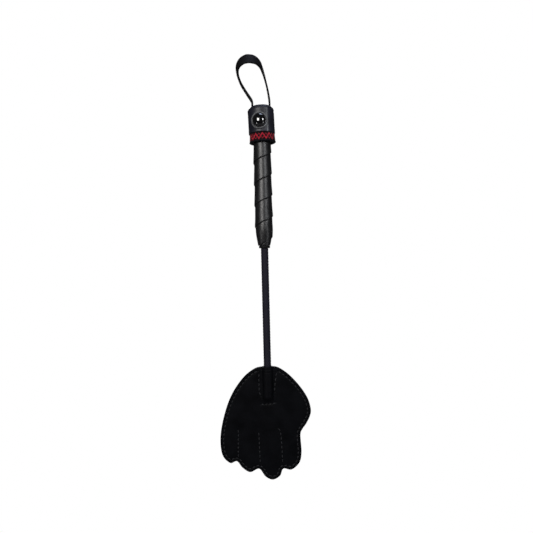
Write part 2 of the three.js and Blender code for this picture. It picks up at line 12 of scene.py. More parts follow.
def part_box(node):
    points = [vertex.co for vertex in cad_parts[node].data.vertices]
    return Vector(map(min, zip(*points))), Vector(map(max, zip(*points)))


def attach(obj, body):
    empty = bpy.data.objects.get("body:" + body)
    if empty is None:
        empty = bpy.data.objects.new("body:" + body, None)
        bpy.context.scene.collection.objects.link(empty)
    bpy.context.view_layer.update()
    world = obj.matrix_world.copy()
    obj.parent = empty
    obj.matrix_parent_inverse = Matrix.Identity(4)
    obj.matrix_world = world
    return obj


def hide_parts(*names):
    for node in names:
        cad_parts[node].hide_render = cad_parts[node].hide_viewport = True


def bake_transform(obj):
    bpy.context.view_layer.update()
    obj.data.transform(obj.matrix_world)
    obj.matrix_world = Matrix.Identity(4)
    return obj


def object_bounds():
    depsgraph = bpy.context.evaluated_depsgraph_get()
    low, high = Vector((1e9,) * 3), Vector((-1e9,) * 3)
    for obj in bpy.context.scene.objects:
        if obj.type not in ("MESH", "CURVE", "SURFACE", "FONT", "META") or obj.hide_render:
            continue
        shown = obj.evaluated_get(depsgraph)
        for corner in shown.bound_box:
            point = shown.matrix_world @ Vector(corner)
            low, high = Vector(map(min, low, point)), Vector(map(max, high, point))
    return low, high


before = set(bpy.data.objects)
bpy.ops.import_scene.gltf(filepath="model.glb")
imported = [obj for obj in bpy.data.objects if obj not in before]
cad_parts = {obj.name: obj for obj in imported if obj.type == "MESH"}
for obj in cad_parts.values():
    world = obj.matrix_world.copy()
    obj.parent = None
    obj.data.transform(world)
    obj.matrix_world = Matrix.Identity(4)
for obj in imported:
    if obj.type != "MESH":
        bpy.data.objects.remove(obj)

bl_info = {
    "name": "Leather hand swatter",
    "version": (1, 0, 0),
    "blender": (4, 5, 0),
    "location": "3D View > Sidebar > Swatter",
    "description": "Builds the wound grip, cap, strap, braided shaft and stitched hand on the packed frame",
    "category": "Object",
}

MM = 0.001
CAD_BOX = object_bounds()
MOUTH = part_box("grip_binding")[0].z         # where the shaft leaves the grip
GRIP_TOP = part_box("grip_wrap")[1].z
HAND_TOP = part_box("hand_front_upper")[1].z
ROD_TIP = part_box("rod_tip_cap")[0].z
GAP = 0.3 * MM                              # left between pieces that touch
SEAT = 3 * MM                               # height of the mouth's binding, which the sleeve also reaches up
STUD_HEIGHT = 23.9 * MM                     # above the collar's foot, like the heights below
STRAP_LEFT, STRAP_RIGHT = -10.2, 11.0       # where the strap's legs enter the cap, in millimetres
CAP_TOP = 44.0                              # in millimetres
CAP_PLACE = Matrix.Translation((0.8 * MM, 0, 64 * MM)) @ Matrix.Rotation(math.radians(-1.8), 4, "Y")


def length(name, description, default):
    return bpy.props.FloatProperty(
        name=name, description=description, default=default * MM, unit="LENGTH", precision=5
    )


def colour(name, description, default):
    return bpy.props.FloatVectorProperty(
        name=name, description=description, default=default, size=3, min=0, max=1, subtype="COLOR"
    )


def angle(name, description, degrees):
    return bpy.props.FloatProperty(
        name=name, description=description, default=math.radians(degrees), subtype="ANGLE"
    )


class SwatterGrip(bpy.types.PropertyGroup):
    """Sizes and colour of the wound grip."""

    radius: length("Radius", "Over the leather strip, where a turn starts", 10.3)
    lap: length("Lap", "How far a turn's lower edge stands over the turn below", 0.9)
    pitch: length("Pitch", "Height of one turn of the strip", 25.8)
    seam: length("Seam height", "Height of the strip's lower edge on the +X side", 0.4)
    strip: length("Strip", "Thickness of the strip", 1.3)
    taper: length("Taper", "Length of the cone at the mouth", 26)
    mouth: length("Mouth radius", "Radius of the grip at the mouth", 6.1)
    leather: colour("Leather", "Colour of the grip's leather", (0.0045, 0.0045, 0.0052))


class SwatterCap(bpy.types.PropertyGroup):
    """Sizes and colours of the collar, ribbon, cuff and stud."""

    cuff_radius: length("Cuff radius", "Where the wrap of the cuff starts", 15.6)
    cuff_lap: length("Cuff lap", "How far the cuff's end stands over its start", 0.8)
    cuff_edge: angle("Cuff edge", "Where the cuff's end lies, from the front towards +X", 28)
    stud_radius: length("Stud radius", "Radius of the domed stud", 7.8)
    stud_dome: length("Stud dome", "Height of the stud's dome", 3.0)
    stud_angle: angle("Stud angle", "Where the stud sits, from the front towards +X", -9)
    leather: colour("Leather", "Colour of the cap's leather", (0.0066, 0.0068, 0.0125))
    # pale colour of the painted highlight along the cuff's end and round the washer's rim
    painted_edge_highlight: colour("Cut edge", "Colour of the pared leather at the cuff's end", (0.105, 0.108, 0.112))
    ribbon: colour("Ribbon", "Colour of the ribbon's pattern", (0.42, 0.016, 0.034))
    ribbon_ground: colour("Ribbon ground", "Colour between the ribbon's pattern", (0.010, 0.002, 0.003))


class SwatterStrap(bpy.types.PropertyGroup):
    """Sizes and colour of the strap's loop."""

    width: length("Width", "Width of the strap", 12.5)
    thick: length("Thickness", "Thickness of the strap", 2.2)
    lean: angle("Lean", "How far the top of the loop leans forward", 68)
    leather: colour("Leather", "Colour of the strap's leather", (0.0038, 0.0038, 0.0044))


class SwatterShaft(bpy.types.PropertyGroup):
    """Sizes and colour of the braided shaft."""

    radius: length("Radius", "Over the braid", 4.55)
    strands: bpy.props.IntProperty(
        name="Strands", description="Strands that wind each way round the shaft", default=8, min=3
    )
    relief: length("Relief", "How far a strand's crown stands above the crossings", 0.32)
    braid: colour("Braid", "Colour of the braided sleeve", (0.0040, 0.0034, 0.0082))


class SwatterHand(bpy.types.PropertyGroup):
    """Sizes and colours of the stitched hand."""

    leather_thick: length("Leather", "Thickness of one layer", 2.0)
    ridge: length("Ridge radius", "Radius of the raised leather over the rod", 6.85)
    puff: length("Puff", "How far the leather rises between its seams", 0.5)
    inset: length("Seam inset", "From the edge to the edge seam", 4.0)
    pitch: length("Stitch pitch", "From one stitch of the edge seam to the next", 5.2)
    thread_radius: length("Thread radius", "Half the thickness of the thread", 0.5)
    leather: colour("Leather", "Colour of the hand's leather", (0.0020, 0.0021, 0.0028))
    thread: colour("Thread", "Colour of the thread", (0.013, 0.013, 0.015))


class SwatterStage(bpy.types.PropertyGroup):
    """The floor, the lights and the camera."""

    camera: bpy.props.FloatVectorProperty(
        name="Camera", description="Where the camera stands", default=(0.0018, -0.650, -0.0864),
        subtype="XYZ", unit="LENGTH",
    )
    roll: angle("Roll", "How far the camera is rolled", 1.406)
    lens: bpy.props.FloatProperty(
        name="Lens", description="Focal length in millimetres", default=36.0, subtype="DISTANCE_CAMERA"
    )
    drop: length("Floor drop", "From the lowest fingertip to the floor", 60)
    surroundings: bpy.props.FloatProperty(
        name="Surroundings", description="How bright the white studio's walls are as seen in the leather",
        default=0.05, min=0,
    )
    floor: colour("Floor", "Colour that the floor lends to the leather", (0.15, 0.15, 0.15))


SETTINGS = {
    "swatter_grip": SwatterGrip,
    "swatter_cap": SwatterCap,
    "swatter_strap": SwatterStrap,
    "swatter_shaft": SwatterShaft,
    "swatter_hand": SwatterHand,
    "swatter_stage": SwatterStage,
}

# ---- Finishes ----


def sum_of(operation, swapped=False):
    """An operator that adds a Math node between a value and another value or number."""
    def added(self, other):
        first, second = (other, self) if swapped else (self, other)
        return self.finish.node("ShaderNodeMath", {"operation": operation}, {0: first, 1: second})
    return added


class Value:
    """A number, vector or colour in a finish. Arithmetic on it adds Math nodes."""

    def __init__(self, finish, socket):
        self.finish = finish
        self.socket = socket

    __add__ = __radd__ = sum_of("ADD")
    __sub__, __rsub__ = sum_of("SUBTRACT"), sum_of("SUBTRACT", True)
    __mul__ = __rmul__ = sum_of("MULTIPLY")
    __truediv__ = sum_of("DIVIDE")
    __lt__ = sum_of("LESS_THAN")

    def math(self, operation, *others):
        return self.finish.node("ShaderNodeMath", {"operation": operation}, dict(enumerate((self, *others))))

    def __abs__(self):
        return self.math("ABSOLUTE")

    def part(self):
        """What is left of the value after its whole number."""
        return self.math("FRACT")

    def wave(self):
        """The sine of the value, in radians."""
        return self.math("SINE")

    def held(self):
        """The value kept between nought and one."""
        return self.finish.node("ShaderNodeClamp", {}, {0: self, 1: 0.0, 2: 1.0})

    def between(self, low, high):
        """Nought at the low value rising smoothly to one at the high value."""
        return self.finish.node(
            "ShaderNodeMapRange", {"interpolation_type": "SMOOTHSTEP"},
            {0: self, 1: low, 2: high, 3: 0.0, 4: 1.0},
        )


class Finish:
    """A material in the making."""

    def __init__(self, name):
        self.material = bpy.data.materials.new(name)
        self.material.use_nodes = True
        self.tree = self.material.node_tree
        self.tree.nodes.clear()
        self.place = self.node("ShaderNodeTexCoord", {}, {}, "Object")

    def node(self, kind, settings, sockets, output=0):
        """Adds a node: its settings are set first, then the values or links of its sockets."""
        node = self.tree.nodes.new(kind)
        for key, value in settings.items():
            setattr(node, key, value)
        for key, value in sockets.items():
            if isinstance(value, Value):
                self.tree.links.new(value.socket, node.inputs[key])
            elif isinstance(node.inputs[key].default_value, float):
                node.inputs[key].default_value = value
            else:
                size = len(node.inputs[key].default_value)
                node.inputs[key].default_value = (*value, 1.0)[:size]
        return Value(self, node.outputs[output])

    def axes(self):
        """The place's three parts."""
        return [self.node("ShaderNodeSeparateXYZ", {}, {0: self.place}, axis) for axis in range(3)]

    def stretched(self, x, y, z):
        """The place with each axis multiplied."""
        return self.node("ShaderNodeVectorMath", {"operation": "MULTIPLY"}, {0: self.place, 1: (x, y, z)})

    def cloud(self, size, detail=2.0, place=None, distortion=0.0):
        """Soft noise with features of a size in metres, from nought to one."""
        return self.node(
            "ShaderNodeTexNoise", {},
            {"Vector": place or self.place, "Scale": 1 / size, "Detail": detail, "Distortion": distortion},
        )

    def cells(self, size, feature="F1"):
        """Distance in a pattern of cells of a size in metres."""
        return self.node(
            "ShaderNodeTexVoronoi", {"feature": feature},
            {"Vector": self.place, "Scale": 1 / size, "Randomness": 1.0},
        )

    def mixed(self, share, first, second):
        """A colour between two."""
        return self.node("ShaderNodeMix", {"data_type": "RGBA"}, {0: share, 6: first, 7: second}, 2)

    def outward_edges(self):
        """One where the surface turns sharply outwards."""
        return self.node("ShaderNodeNewGeometry", {}, {}, "Pointiness").between(0.52, 0.60)

    def relief(self, height, depth):
        """A bump from heights of nought to one, with its depth in metres."""
        return self.node("ShaderNodeBump", {}, {"Height": height, "Distance": depth, "Strength": 1.0})

    def shaded(self, base, rough, normal=None, **constants):
        """The surface's shader."""
        sockets = {"Base Color": base, "Roughness": rough}
        if normal:
            sockets["Normal"] = normal
        for key, value in constants.items():
            sockets[key.replace("_", " ").title().replace("Ior", "IOR")] = value
        return self.node("ShaderNodeBsdfPrincipled", {}, sockets)

    def closed(self, shader):
        """Sends a shader to the surface and gives the material."""
        output = self.tree.nodes.new("ShaderNodeOutputMaterial")
        self.tree.links.new(shader.socket, output.inputs["Surface"])
        return self.material

    def done(self, base, rough, normal=None, **constants):
        """The material of a plain surface."""
        return self.closed(self.shaded(base, rough, normal, **constants))


def shade(base, factor):
    """A colour made lighter or darker by a plain number."""
    return tuple(min(channel * factor, 1.0) for channel in base)


def leather(name, base, grain, depth, rough, level, rub_and_highlight=4.0, creased=0.0):
    """Grained leather: pebbles, pores, soft creases, random patches, and sharp edges made paler, partly as
    rubbed wear and partly as a painted highlight.
    """
    finish = Finish(name)
    pebbles = finish.cells(grain, "SMOOTH_F1")
    pores = finish.cells(grain * 0.45)
    patches = finish.cloud(14 * MM, 3.0)
    broad = finish.cloud(38 * MM, 2.0)
    creases = finish.cells(grain * 9, "DISTANCE_TO_EDGE").between(0.0, 0.10)
    # Paler where the surface turns sharply outwards: rubbed wear, and a painted highlight, more so the
    # larger the factor.
    rub_and_highlight_mask = finish.outward_edges() * finish.cloud(3 * MM, 3.0).between(0.35, 0.65)
    mottled = finish.mixed(patches.between(0.3, 0.7), shade(base, 0.72), shade(base, 1.35))
    dusty = finish.mixed(broad.between(0.4, 0.75) * 0.35, mottled, shade(base, 2.0))
    base_colour = finish.mixed(rub_and_highlight_mask * 0.6, dusty, shade(base, rub_and_highlight))
    height = pebbles * 0.75 + pores * 0.25 + creases * creased + patches * 0.6
    roughness = rough + 0.16 * patches - 0.10 * rub_and_highlight_mask + 0.10 * pebbles
    return finish.done(
        base_colour, roughness.held(), finish.relief(height, depth), specular_ior_level=level
    )


def woven_ribbon(base, ground, radius, low, high):
    """A woven ribbon: a wide and a narrow zigzag, floated over a ribbed ground, with painted highlights on
    the threads' crowns and painted shade between the threads.
    """
    finish = Finish("woven_ribbon")
    x, y, z = finish.axes()
    around = x.math("ARCTAN2", 0.0 - y) * radius
    up = (z - low) / (high - low)
    pick, warp = 0.62 * MM, 0.50 * MM       # widths of a thread across and along the ribbon
    step = (around / warp).part()
    stepped = (around / warp).math("FLOOR") * warp
    period = 8.6 * MM
    swing = abs((stepped / period).part() - 0.5) * 2
    foot, reach = 0.14, 0.72                # the zigzags' lowest point and height, as shares of the width
    zigzag = abs(up - foot - reach * swing) < 0.14
    second = abs(up - foot - reach * (1 - swing)) < 0.05
    floated = (zigzag + second).held()
    rib = (z / pick * math.pi).wave()
    rib = rib * rib
    crown = (step * math.pi).wave()
    fuzz = finish.cloud(0.5 * MM, 3.0)
    patches = finish.cloud(4 * MM, 2.0)
    # Painted highlight on each thread's crown, and painted shade between the threads and between the
    # ground's ribs.
    thread_share = (0.35 + 0.65 * crown) * (0.6 + 0.4 * rib)
    red = finish.mixed(thread_share * (0.55 + 0.9 * patches), shade(base, 0.35), shade(base, 1.25))
    dark = finish.mixed(rib * fuzz, shade(ground, 0.5), shade(ground, 2.2))
    bright = finish.mixed(floated, dark, red)
    height = floated * (0.5 + 0.5 * crown) + rib * 0.45 + fuzz * 0.25
    return finish.done(
        bright, 0.62 + 0.25 * fuzz, finish.relief(height, 0.30 * MM), specular_ior_level=0.10,
        sheen_weight=0.05, sheen_roughness=0.5,
    )


def braided_cord(base):
    """Twisted filaments of the braid: fine streaks, a painted sheen on the strands' crowns and painted shade
    in the hollows between them.
    """
    finish = Finish("braided_sleeve")
    streaks = finish.cloud(0.5 * MM, 3.0, finish.stretched(1.0, 1.0, 0.45), 0.6)
    patches = finish.cloud(9 * MM, 2.0)
    crown = finish.node("ShaderNodeNewGeometry", {}, {}, "Pointiness").between(0.47, 0.55)
    # Painted highlight: the crowns are made up to three times paler; painted shade: the hollows are made
    # darker.
    base_colour = finish.mixed(crown * (0.35 + 0.65 * streaks), shade(base, 0.45), shade(base, 3.2))
    base_colour = finish.mixed(patches.between(0.45, 0.7) * 0.3, base_colour, shade(base, 2.2))
    return finish.done(
        base_colour, 0.55 + 0.25 * streaks, finish.relief(streaks, 0.12 * MM), specular_ior_level=0.22
    )


def waxed_thread(base):
    """Waxed thread: the twist of its plies shows as fine slanted ribs, in the bump and in painted light,
    paler on each ply's crown and darker, as painted shade, between them.
    """
    finish = Finish("waxed_thread")
    x, y, z = finish.axes()
    twist = ((x + y * 0.4 + z * 1.3) / (0.42 * MM) * math.pi).wave() * 0.5 + 0.5
    fuzz = finish.cloud(0.35 * MM, 3.0)
    patches = finish.cloud(7 * MM, 2.0)
    # Painted highlight on the plies' crowns and painted shade in the grooves between them.
    share = twist * 0.6 + fuzz * 0.4
    base_colour = finish.mixed(share * (0.5 + patches), shade(base, 0.45), shade(base, 1.6))
    return finish.done(
        base_colour, 0.5 + 0.3 * fuzz, finish.relief(share, 0.10 * MM), specular_ior_level=0.25
    )


def black_enamel():
    """Glossy enamel with the faintest orange peel, dust and hairline scratches."""
    finish = Finish("black_enamel")
    peel = finish.cloud(1.6 * MM, 1.0)
    dust = finish.cloud(0.5 * MM, 4.0).between(0.62, 0.75)
    hairs = finish.cloud(0.3 * MM, 2.0, finish.stretched(0.1, 1.0, 1.0)).between(0.66, 0.72)
    base_colour = finish.mixed(dust * 0.4, (0.0016, 0.0016, 0.0022), (0.02, 0.02, 0.023))
    roughness = 0.05 + 0.12 * dust + 0.10 * hairs
    return finish.done(
        base_colour, roughness, finish.relief(peel, 0.02 * MM), coat_weight=0.6, coat_roughness=0.03,
    )


def turned_wood(name="turned_wood", pale=(0.48, 0.31, 0.16), dark=(0.22, 0.12, 0.055)):
    """Beech with long grain."""
    finish = Finish(name)
    grain = finish.cloud(2.2 * MM, 4.0, finish.stretched(1.0, 1.0, 0.06), 0.4)
    rings = finish.cloud(9 * MM, 1.0, finish.stretched(1.0, 1.0, 0.08))
    base_colour = finish.mixed(grain * 0.7 + rings * 0.3, dark, pale)
    return finish.done(base_colour, 0.5 + 0.3 * grain, finish.relief(grain, 0.1 * MM))


def drawn_fibreglass():
    """Drawn rod: resin over long glass fibres."""
    finish = Finish("drawn_fibreglass")
    fibres = finish.cloud(0.5 * MM, 3.0, finish.stretched(1.0, 1.0, 0.02))
    base_colour = finish.mixed(fibres, (0.42, 0.38, 0.25), (0.70, 0.67, 0.50))
    return finish.done(base_colour, 0.25 + 0.3 * fibres, finish.relief(fibres, 0.05 * MM))


def dipped_rubber():
    """Black rubber with a powdery bloom."""
    finish = Finish("dipped_rubber")
    bloom = finish.cloud(3 * MM, 4.0)
    base_colour = finish.mixed(bloom, (0.006, 0.006, 0.006), (0.03, 0.03, 0.032))
    return finish.done(base_colour, 0.65 + 0.25 * bloom, finish.relief(bloom, 0.05 * MM))


def brushed_steel():
    """Plain steel, finely scratched."""
    finish = Finish("brushed_steel")
    scratches = finish.cloud(0.25 * MM, 3.0, finish.stretched(1.0, 0.12, 1.0))
    base_colour = finish.mixed(scratches, (0.30, 0.30, 0.31), (0.56, 0.56, 0.57))
    return finish.done(
        base_colour, 0.25 + 0.25 * scratches, finish.relief(scratches, 0.02 * MM), metallic=1.0
    )


def white_floor(base):
    """The seamless paper that the stage is laid with: it glows white to the camera and shows as paper in
    reflections and bounced light.
    """
    finish = Finish("studio_floor")
    marks = finish.cloud(0.4, 3.0)
    paper = finish.shaded(finish.mixed(marks, shade(base, 0.98), base), 0.85 + 0.1 * marks)
    glow = finish.node("ShaderNodeEmission", {}, {"Color": (1, 1, 1)})
    direct = finish.node("ShaderNodeLightPath", {}, {})
    return finish.closed(finish.node("ShaderNodeMixShader", {}, {0: direct, 1: paper, 2: glow}))


# ---- Shapes ----


def skin(rings, ends="capped"):
    """Points and faces over a stack of closed rings. Ends are capped, joined to each other, or open."""
    rings = np.asarray(rings, float)
    count, sides = rings.shape[:2]
    index = np.arange(count * sides).reshape(count, sides)
    here = index if ends == "joined" else index[:-1]
    there = np.roll(index, -1, 0) if ends == "joined" else index[1:]
    quads = np.stack([here, np.roll(here, -1, 1), np.roll(there, -1, 1), there], axis=-1)
    faces = quads.reshape(-1, 4).tolist()
    if ends == "capped":
        faces.append(index[0][::-1].tolist())
        faces.append(index[-1].tolist())
    return rings.reshape(-1, 3), faces


def joined(shapes):
    """Several shapes as one."""
    points, faces, start = [], [], 0
    for some_points, some_faces in shapes:
        points.append(some_points)
        faces.extend([[start + corner for corner in face] for face in some_faces])
        start += len(some_points)
    return np.vstack(points), faces


def soften(corners, size, steps=4):
    """A closed outline with its corners rounded."""
    corners = np.asarray(corners, float)
    line = []
    for before, corner, after in zip(np.roll(corners, 1, 0), corners, np.roll(corners, -1, 0)):
        back, ahead = before - corner, after - corner
        cut = min(size, np.linalg.norm(back) * 0.45, np.linalg.norm(ahead) * 0.45)
        start = corner + back / np.linalg.norm(back) * cut
        end = corner + ahead / np.linalg.norm(ahead) * cut
        for t in np.linspace(0, 1, steps + 1):
            line.append((1 - t) ** 2 * start + 2 * t * (1 - t) * corner + t ** 2 * end)
    return np.array(line)


def turned(outline, sides=96):
    """Rings round Z, one for each pair of radius and height."""
    angles = np.linspace(0, 2 * math.pi, sides, endpoint=False)
    circle = np.stack([np.cos(angles), np.sin(angles)], axis=-1)
    return np.array([[(*(radius * spoke), height) for spoke in circle] for radius, height in outline])


def through(knots, steps):
    """A smooth line through points, with a number of steps from each to the next."""
    knots = np.asarray(knots, float)
    before = np.vstack([knots[:1], knots[:-2]])
    after = np.vstack([knots[2:], knots[-1:]])
    start, end = knots[:-1], knots[1:]
    pull, push = (end - before) / 2, (after - start) / 2
    t = np.linspace(0, 1, steps, endpoint=False)[None, :, None]
    start, end, pull, push = (each[:, None, :] for each in (start, end, pull, push))
    cubic = (2 * start - 2 * end + pull + push) * t ** 3
    square = (3 * end - 3 * start - 2 * pull - push) * t ** 2
    line = (cubic + square + pull * t + start).reshape(-1, knots.shape[1])
    return np.vstack([line, knots[-1:]])


def run_of(line):
    """How far along a line each of its points lies."""
    return np.concatenate([[0], np.cumsum(np.linalg.norm(np.diff(line, axis=0), axis=1))])


def at_runs(line, runs):
    """The points of a line at some distances along it."""
    far = run_of(line)
    return np.stack([np.interp(runs, far, line[:, axis]) for axis in range(line.shape[1])], axis=-1)


def evenly(line, step):
    """A line resampled to nearly equal steps."""
    total = run_of(line)[-1]
    return at_runs(line, np.linspace(0, total, max(2, round(total / step) + 1)))


def nearest(points, others):
    """The distance from each point to the nearest of some others."""
    found = np.empty(len(points))
    batch = 1000                            # keeps the table of pairs small
    for start in range(0, len(points), batch):
        apart = points[start:start + batch, None, :] - others[None, :, :]
        found[start:start + batch] = np.sqrt((apart ** 2).sum(-1).min(1))
    return found


def ripple(points, size):
    """Gentle unevenness from minus one to one over features of a size."""
    scaled = np.asarray(points) / size * 2 * math.pi
    waves = [                               # each: a direction, and how far it is shifted
        (1.0, 0.31, 0.17, 0.4), (-0.42, 0.83, 0.56, 2.1), (0.27, -0.64, 1.13, 4.0), (0.71, 0.52, -0.77, 5.2),
    ]
    return sum(np.sin(scaled @ np.array(wave[:3]) + wave[3]) for wave in waves) / len(waves)


def smooth(share):
    """A share from nought to one with soft ends."""
    share = np.clip(share, 0, 1)
    return share * share * (3 - 2 * share)


def make(name, shape, finish, placed=None, crease=50):
    """A new piece from points and faces, with its faces pointing out."""
    points, faces = shape
    mesh = bpy.data.meshes.new(name)
    mesh.from_pydata(np.asarray(points).tolist(), [], faces)
    work = bmesh.new()
    work.from_mesh(mesh)
    bmesh.ops.recalc_face_normals(work, faces=work.faces)
    work.to_mesh(mesh)
    work.free()
    mesh.polygons.foreach_set("use_smooth", [True] * len(mesh.polygons))
    mesh.set_sharp_from_angle(angle=math.radians(crease))
    mesh.materials.append(finish)
    piece = bpy.data.objects.new(name, mesh)
    bpy.context.scene.collection.objects.link(piece)
    if placed:
        piece.matrix_world = placed
    return piece


def cut(piece, *tools):
    """Cuts closed shapes out of a piece."""
    for shape in tools:
        mesh = bpy.data.meshes.new("tool")
        mesh.from_pydata(np.asarray(shape[0]).tolist(), [], shape[1])
        tool = bpy.data.objects.new("tool", mesh)
        bpy.context.scene.collection.objects.link(tool)
        tool.matrix_world = piece.matrix_world
        modifier = piece.modifiers.new("cut", "BOOLEAN")
        modifier.object = tool
        modifier.solver = "EXACT"
        bpy.context.view_layer.update()
        evaluated = piece.evaluated_get(bpy.context.evaluated_depsgraph_get())
        whole = bpy.data.meshes.new_from_object(evaluated)
        piece.modifiers.clear()
        piece.data = whole
        bpy.data.objects.remove(tool)
    piece.data.set_sharp_from_angle(angle=math.radians(40))


def flat_bar(width, thick, corner, steps=4):
    """The rounded outline of a flat strap: across its width, then its thickness."""
    half, deep = width / 2, thick / 2
    return soften([(-half, -deep), (half, -deep), (half, deep), (-half, deep)], corner, steps)


# ---- Grip ----


def grip_radius(grip, heights):
    """The grip's radius without its laps."""
    along = np.clip((heights - MOUTH) / grip.taper, 0, 1)
    return grip.mouth + (grip.radius - grip.mouth) * np.sin(along * math.pi / 2)


def cut_level(work, height, keep_above):
    """Cuts a mesh level and drops one side."""
    everything = work.verts[:] + work.edges[:] + work.faces[:]
    bmesh.ops.bisect_plane(
        work, geom=everything, dist=1e-8, plane_co=(0, 0, height), plane_no=(0, 0, 1),
        clear_inner=keep_above, clear_outer=not keep_above,
    )


class SWATTER_OT_grip(bpy.types.Operator):
    """Winds the leather strip round the grip and binds its mouth"""

    bl_idname = "swatter.grip"
    bl_label = "Grip"

    # One turn of the strip from its lower edge up: share of the pitch, and share of the lap.
    turn = (
        (0.000, -0.45), (0.001, 0.20), (0.004, 0.62), (0.012, 0.88), (0.028, 1.00), (0.060, 1.02),
        (0.120, 0.90), (0.220, 0.72), (0.340, 0.56), (0.480, 0.40), (0.620, 0.26), (0.760, 0.14),
        (0.880, 0.04), (0.950, -0.05), (0.982, -0.20),
    )
    sides = 128

    def wound(self, grip):
        """The strip's outer face, as a helix that runs past both ends of the grip."""
        count = len(self.turn)
        low = MOUTH + SEAT + GAP
        below = math.ceil((grip.seam - low) / grip.pitch) + 1
        above = math.ceil((GRIP_TOP - grip.seam) / grip.pitch) + 1
        rows = (below + above) * count
        points, columns = [], []
        for column in range(self.sides):
            extra = count if column == 0 else 0
            columns.append(len(points))
            for row in range(rows + extra + 1):
                share, lap = self.turn[row % count]
                turn = row // count + share + column / self.sides - below
                points.append((column / self.sides * 2 * math.pi, grip.seam + turn * grip.pitch, lap))
        angle, height, lap = np.array(points).T
        radius = grip_radius(grip, height) + lap * grip.lap
        flat = np.stack([np.cos(angle) * radius, np.sin(angle) * radius, height], axis=-1)
        uneven = 1 + ripple(flat, 17 * MM) * 0.010
        flat[:, :2] *= uneven[:, None]
        columns.append(count)
        faces = []
        for column in range(self.sides):
            here, there = columns[column], columns[column + 1]
            for row in range(rows):
                faces.append([here + row, there + row, there + row + 1, here + row + 1])
        return flat, faces, low

    def execute(self, context):
        grip = context.scene.swatter_grip
        points, faces, low = self.wound(grip)
        work = bmesh.new()
        corners = [work.verts.new(point) for point in points]
        for face in faces:
            work.faces.new([corners[corner] for corner in face])
        cut_level(work, low, True)
        cut_level(work, GRIP_TOP, False)
        bmesh.ops.delete(work, geom=[vert for vert in work.verts if not vert.link_faces], context="VERTS")
        heights = np.linspace(low, GRIP_TOP, 40)
        inside = turned(np.stack([grip_radius(grip, heights) - grip.strip, heights], axis=-1), self.sides)
        inner_points, inner_faces = skin(inside, "open")
        inner = [work.verts.new(point) for point in inner_points]
        for face in inner_faces:
            work.faces.new([inner[corner] for corner in face])
        work.edges.ensure_lookup_table()
        for height in (low, GRIP_TOP):
            rim = [
                edge for edge in work.edges
                if edge.is_boundary and all(abs(vert.co.z - height) < 1e-6 for vert in edge.verts)
            ]
            bmesh.ops.bridge_loops(work, edges=rim)
        bmesh.ops.remove_doubles(work, verts=work.verts, dist=1e-7)
        work.verts.index_update()
        shape = (
            np.array([vert.co[:] for vert in work.verts]),
            [[vert.index for vert in face.verts] for face in work.faces],
        )
        work.free()
        hide = leather("grip_leather", grip.leather, 0.75 * MM, 0.10 * MM, 0.26, 0.50, creased=0.35)
        wrap = make("leather_wrap", shape, hide, crease=70)
        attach(wrap, "handle")
        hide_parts("grip_wrap")
        low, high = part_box("grip_binding")
        outer = high.x
        bore = 4.7 * MM
        rounded = 0.7 * MM
        outline = soften([(bore, low.z), (outer, low.z), (outer, high.z), (bore, high.z)], rounded, 6)
        tape = leather("binding_leather", shade(grip.leather, 0.6), 0.6 * MM, 0.06 * MM, 0.5, 0.15, rub_and_highlight=1.5)
        binding = make("mouth_binding", skin(turned(outline), "joined"), tape)
        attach(binding, "handle")
        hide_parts("grip_binding")
        return {"FINISHED"}


# ---- Cap: drawn on its own leaning axis, with the collar's foot at zero ----


def cap_piece(name, shape, finish, node, crease=50):
    """A piece of the cap, set on the cap's axis."""
    piece = make(name, shape, finish, CAP_PLACE, crease)
    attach(piece, "handle")
    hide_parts(node)
    return piece


class SWATTER_OT_collar(bpy.types.Operator):
    """Makes the flared collar and the woven ribbon round it"""

    bl_idname = "swatter.collar"
    bl_label = "Collar and ribbon"

    ribs = 15               # crosswise ribs of the ribbon
    rib_height = 0.05       # in millimetres, like the sizes below
    rolled = 0.25           # how far the ribbon's two edges curl in
    ribbon_foot, ribbon_head = 1.3, 10.4

    def execute(self, context):
        cap = context.scene.swatter_cap
        hide = leather("collar_leather", shade(cap.leather, 0.5), 0.7 * MM, 0.08 * MM, 0.45, 0.18)
        corners = [
            (12.51, 0), (15.6, 0), (16.2, 0.6), (16.1, 1.0), (14.8, 1.05), (14.2, 10.5),
            (13.3, 10.5), (13.3, 1.5), (12.51, 1.5),
        ]
        outline = soften(corners, 0.3, 3) * MM
        cap_piece("flared_collar", skin(turned(outline), "joined"), hide, "collar_skirt")
        low, high = self.ribbon_foot, self.ribbon_head
        face = []
        for share in np.linspace(0, 1, self.ribs * 6 + 1):
            rib = self.rib_height * math.cos(share * self.ribs * 2 * math.pi)
            proud = rib - self.rolled * (2 * abs(share - 0.5)) ** 20
            face.append((15.7 - 0.6 * share + proud, low + (high - low) * share))
        ring = np.array([*face, (14.5, high), (15.1, low)]) * MM
        woven = woven_ribbon(cap.ribbon, cap.ribbon_ground, 15.4 * MM, low * MM, high * MM)
        cap_piece("zigzag_ribbon", skin(turned(ring, 144), "joined"), woven, "red_band")
        return {"FINISHED"}


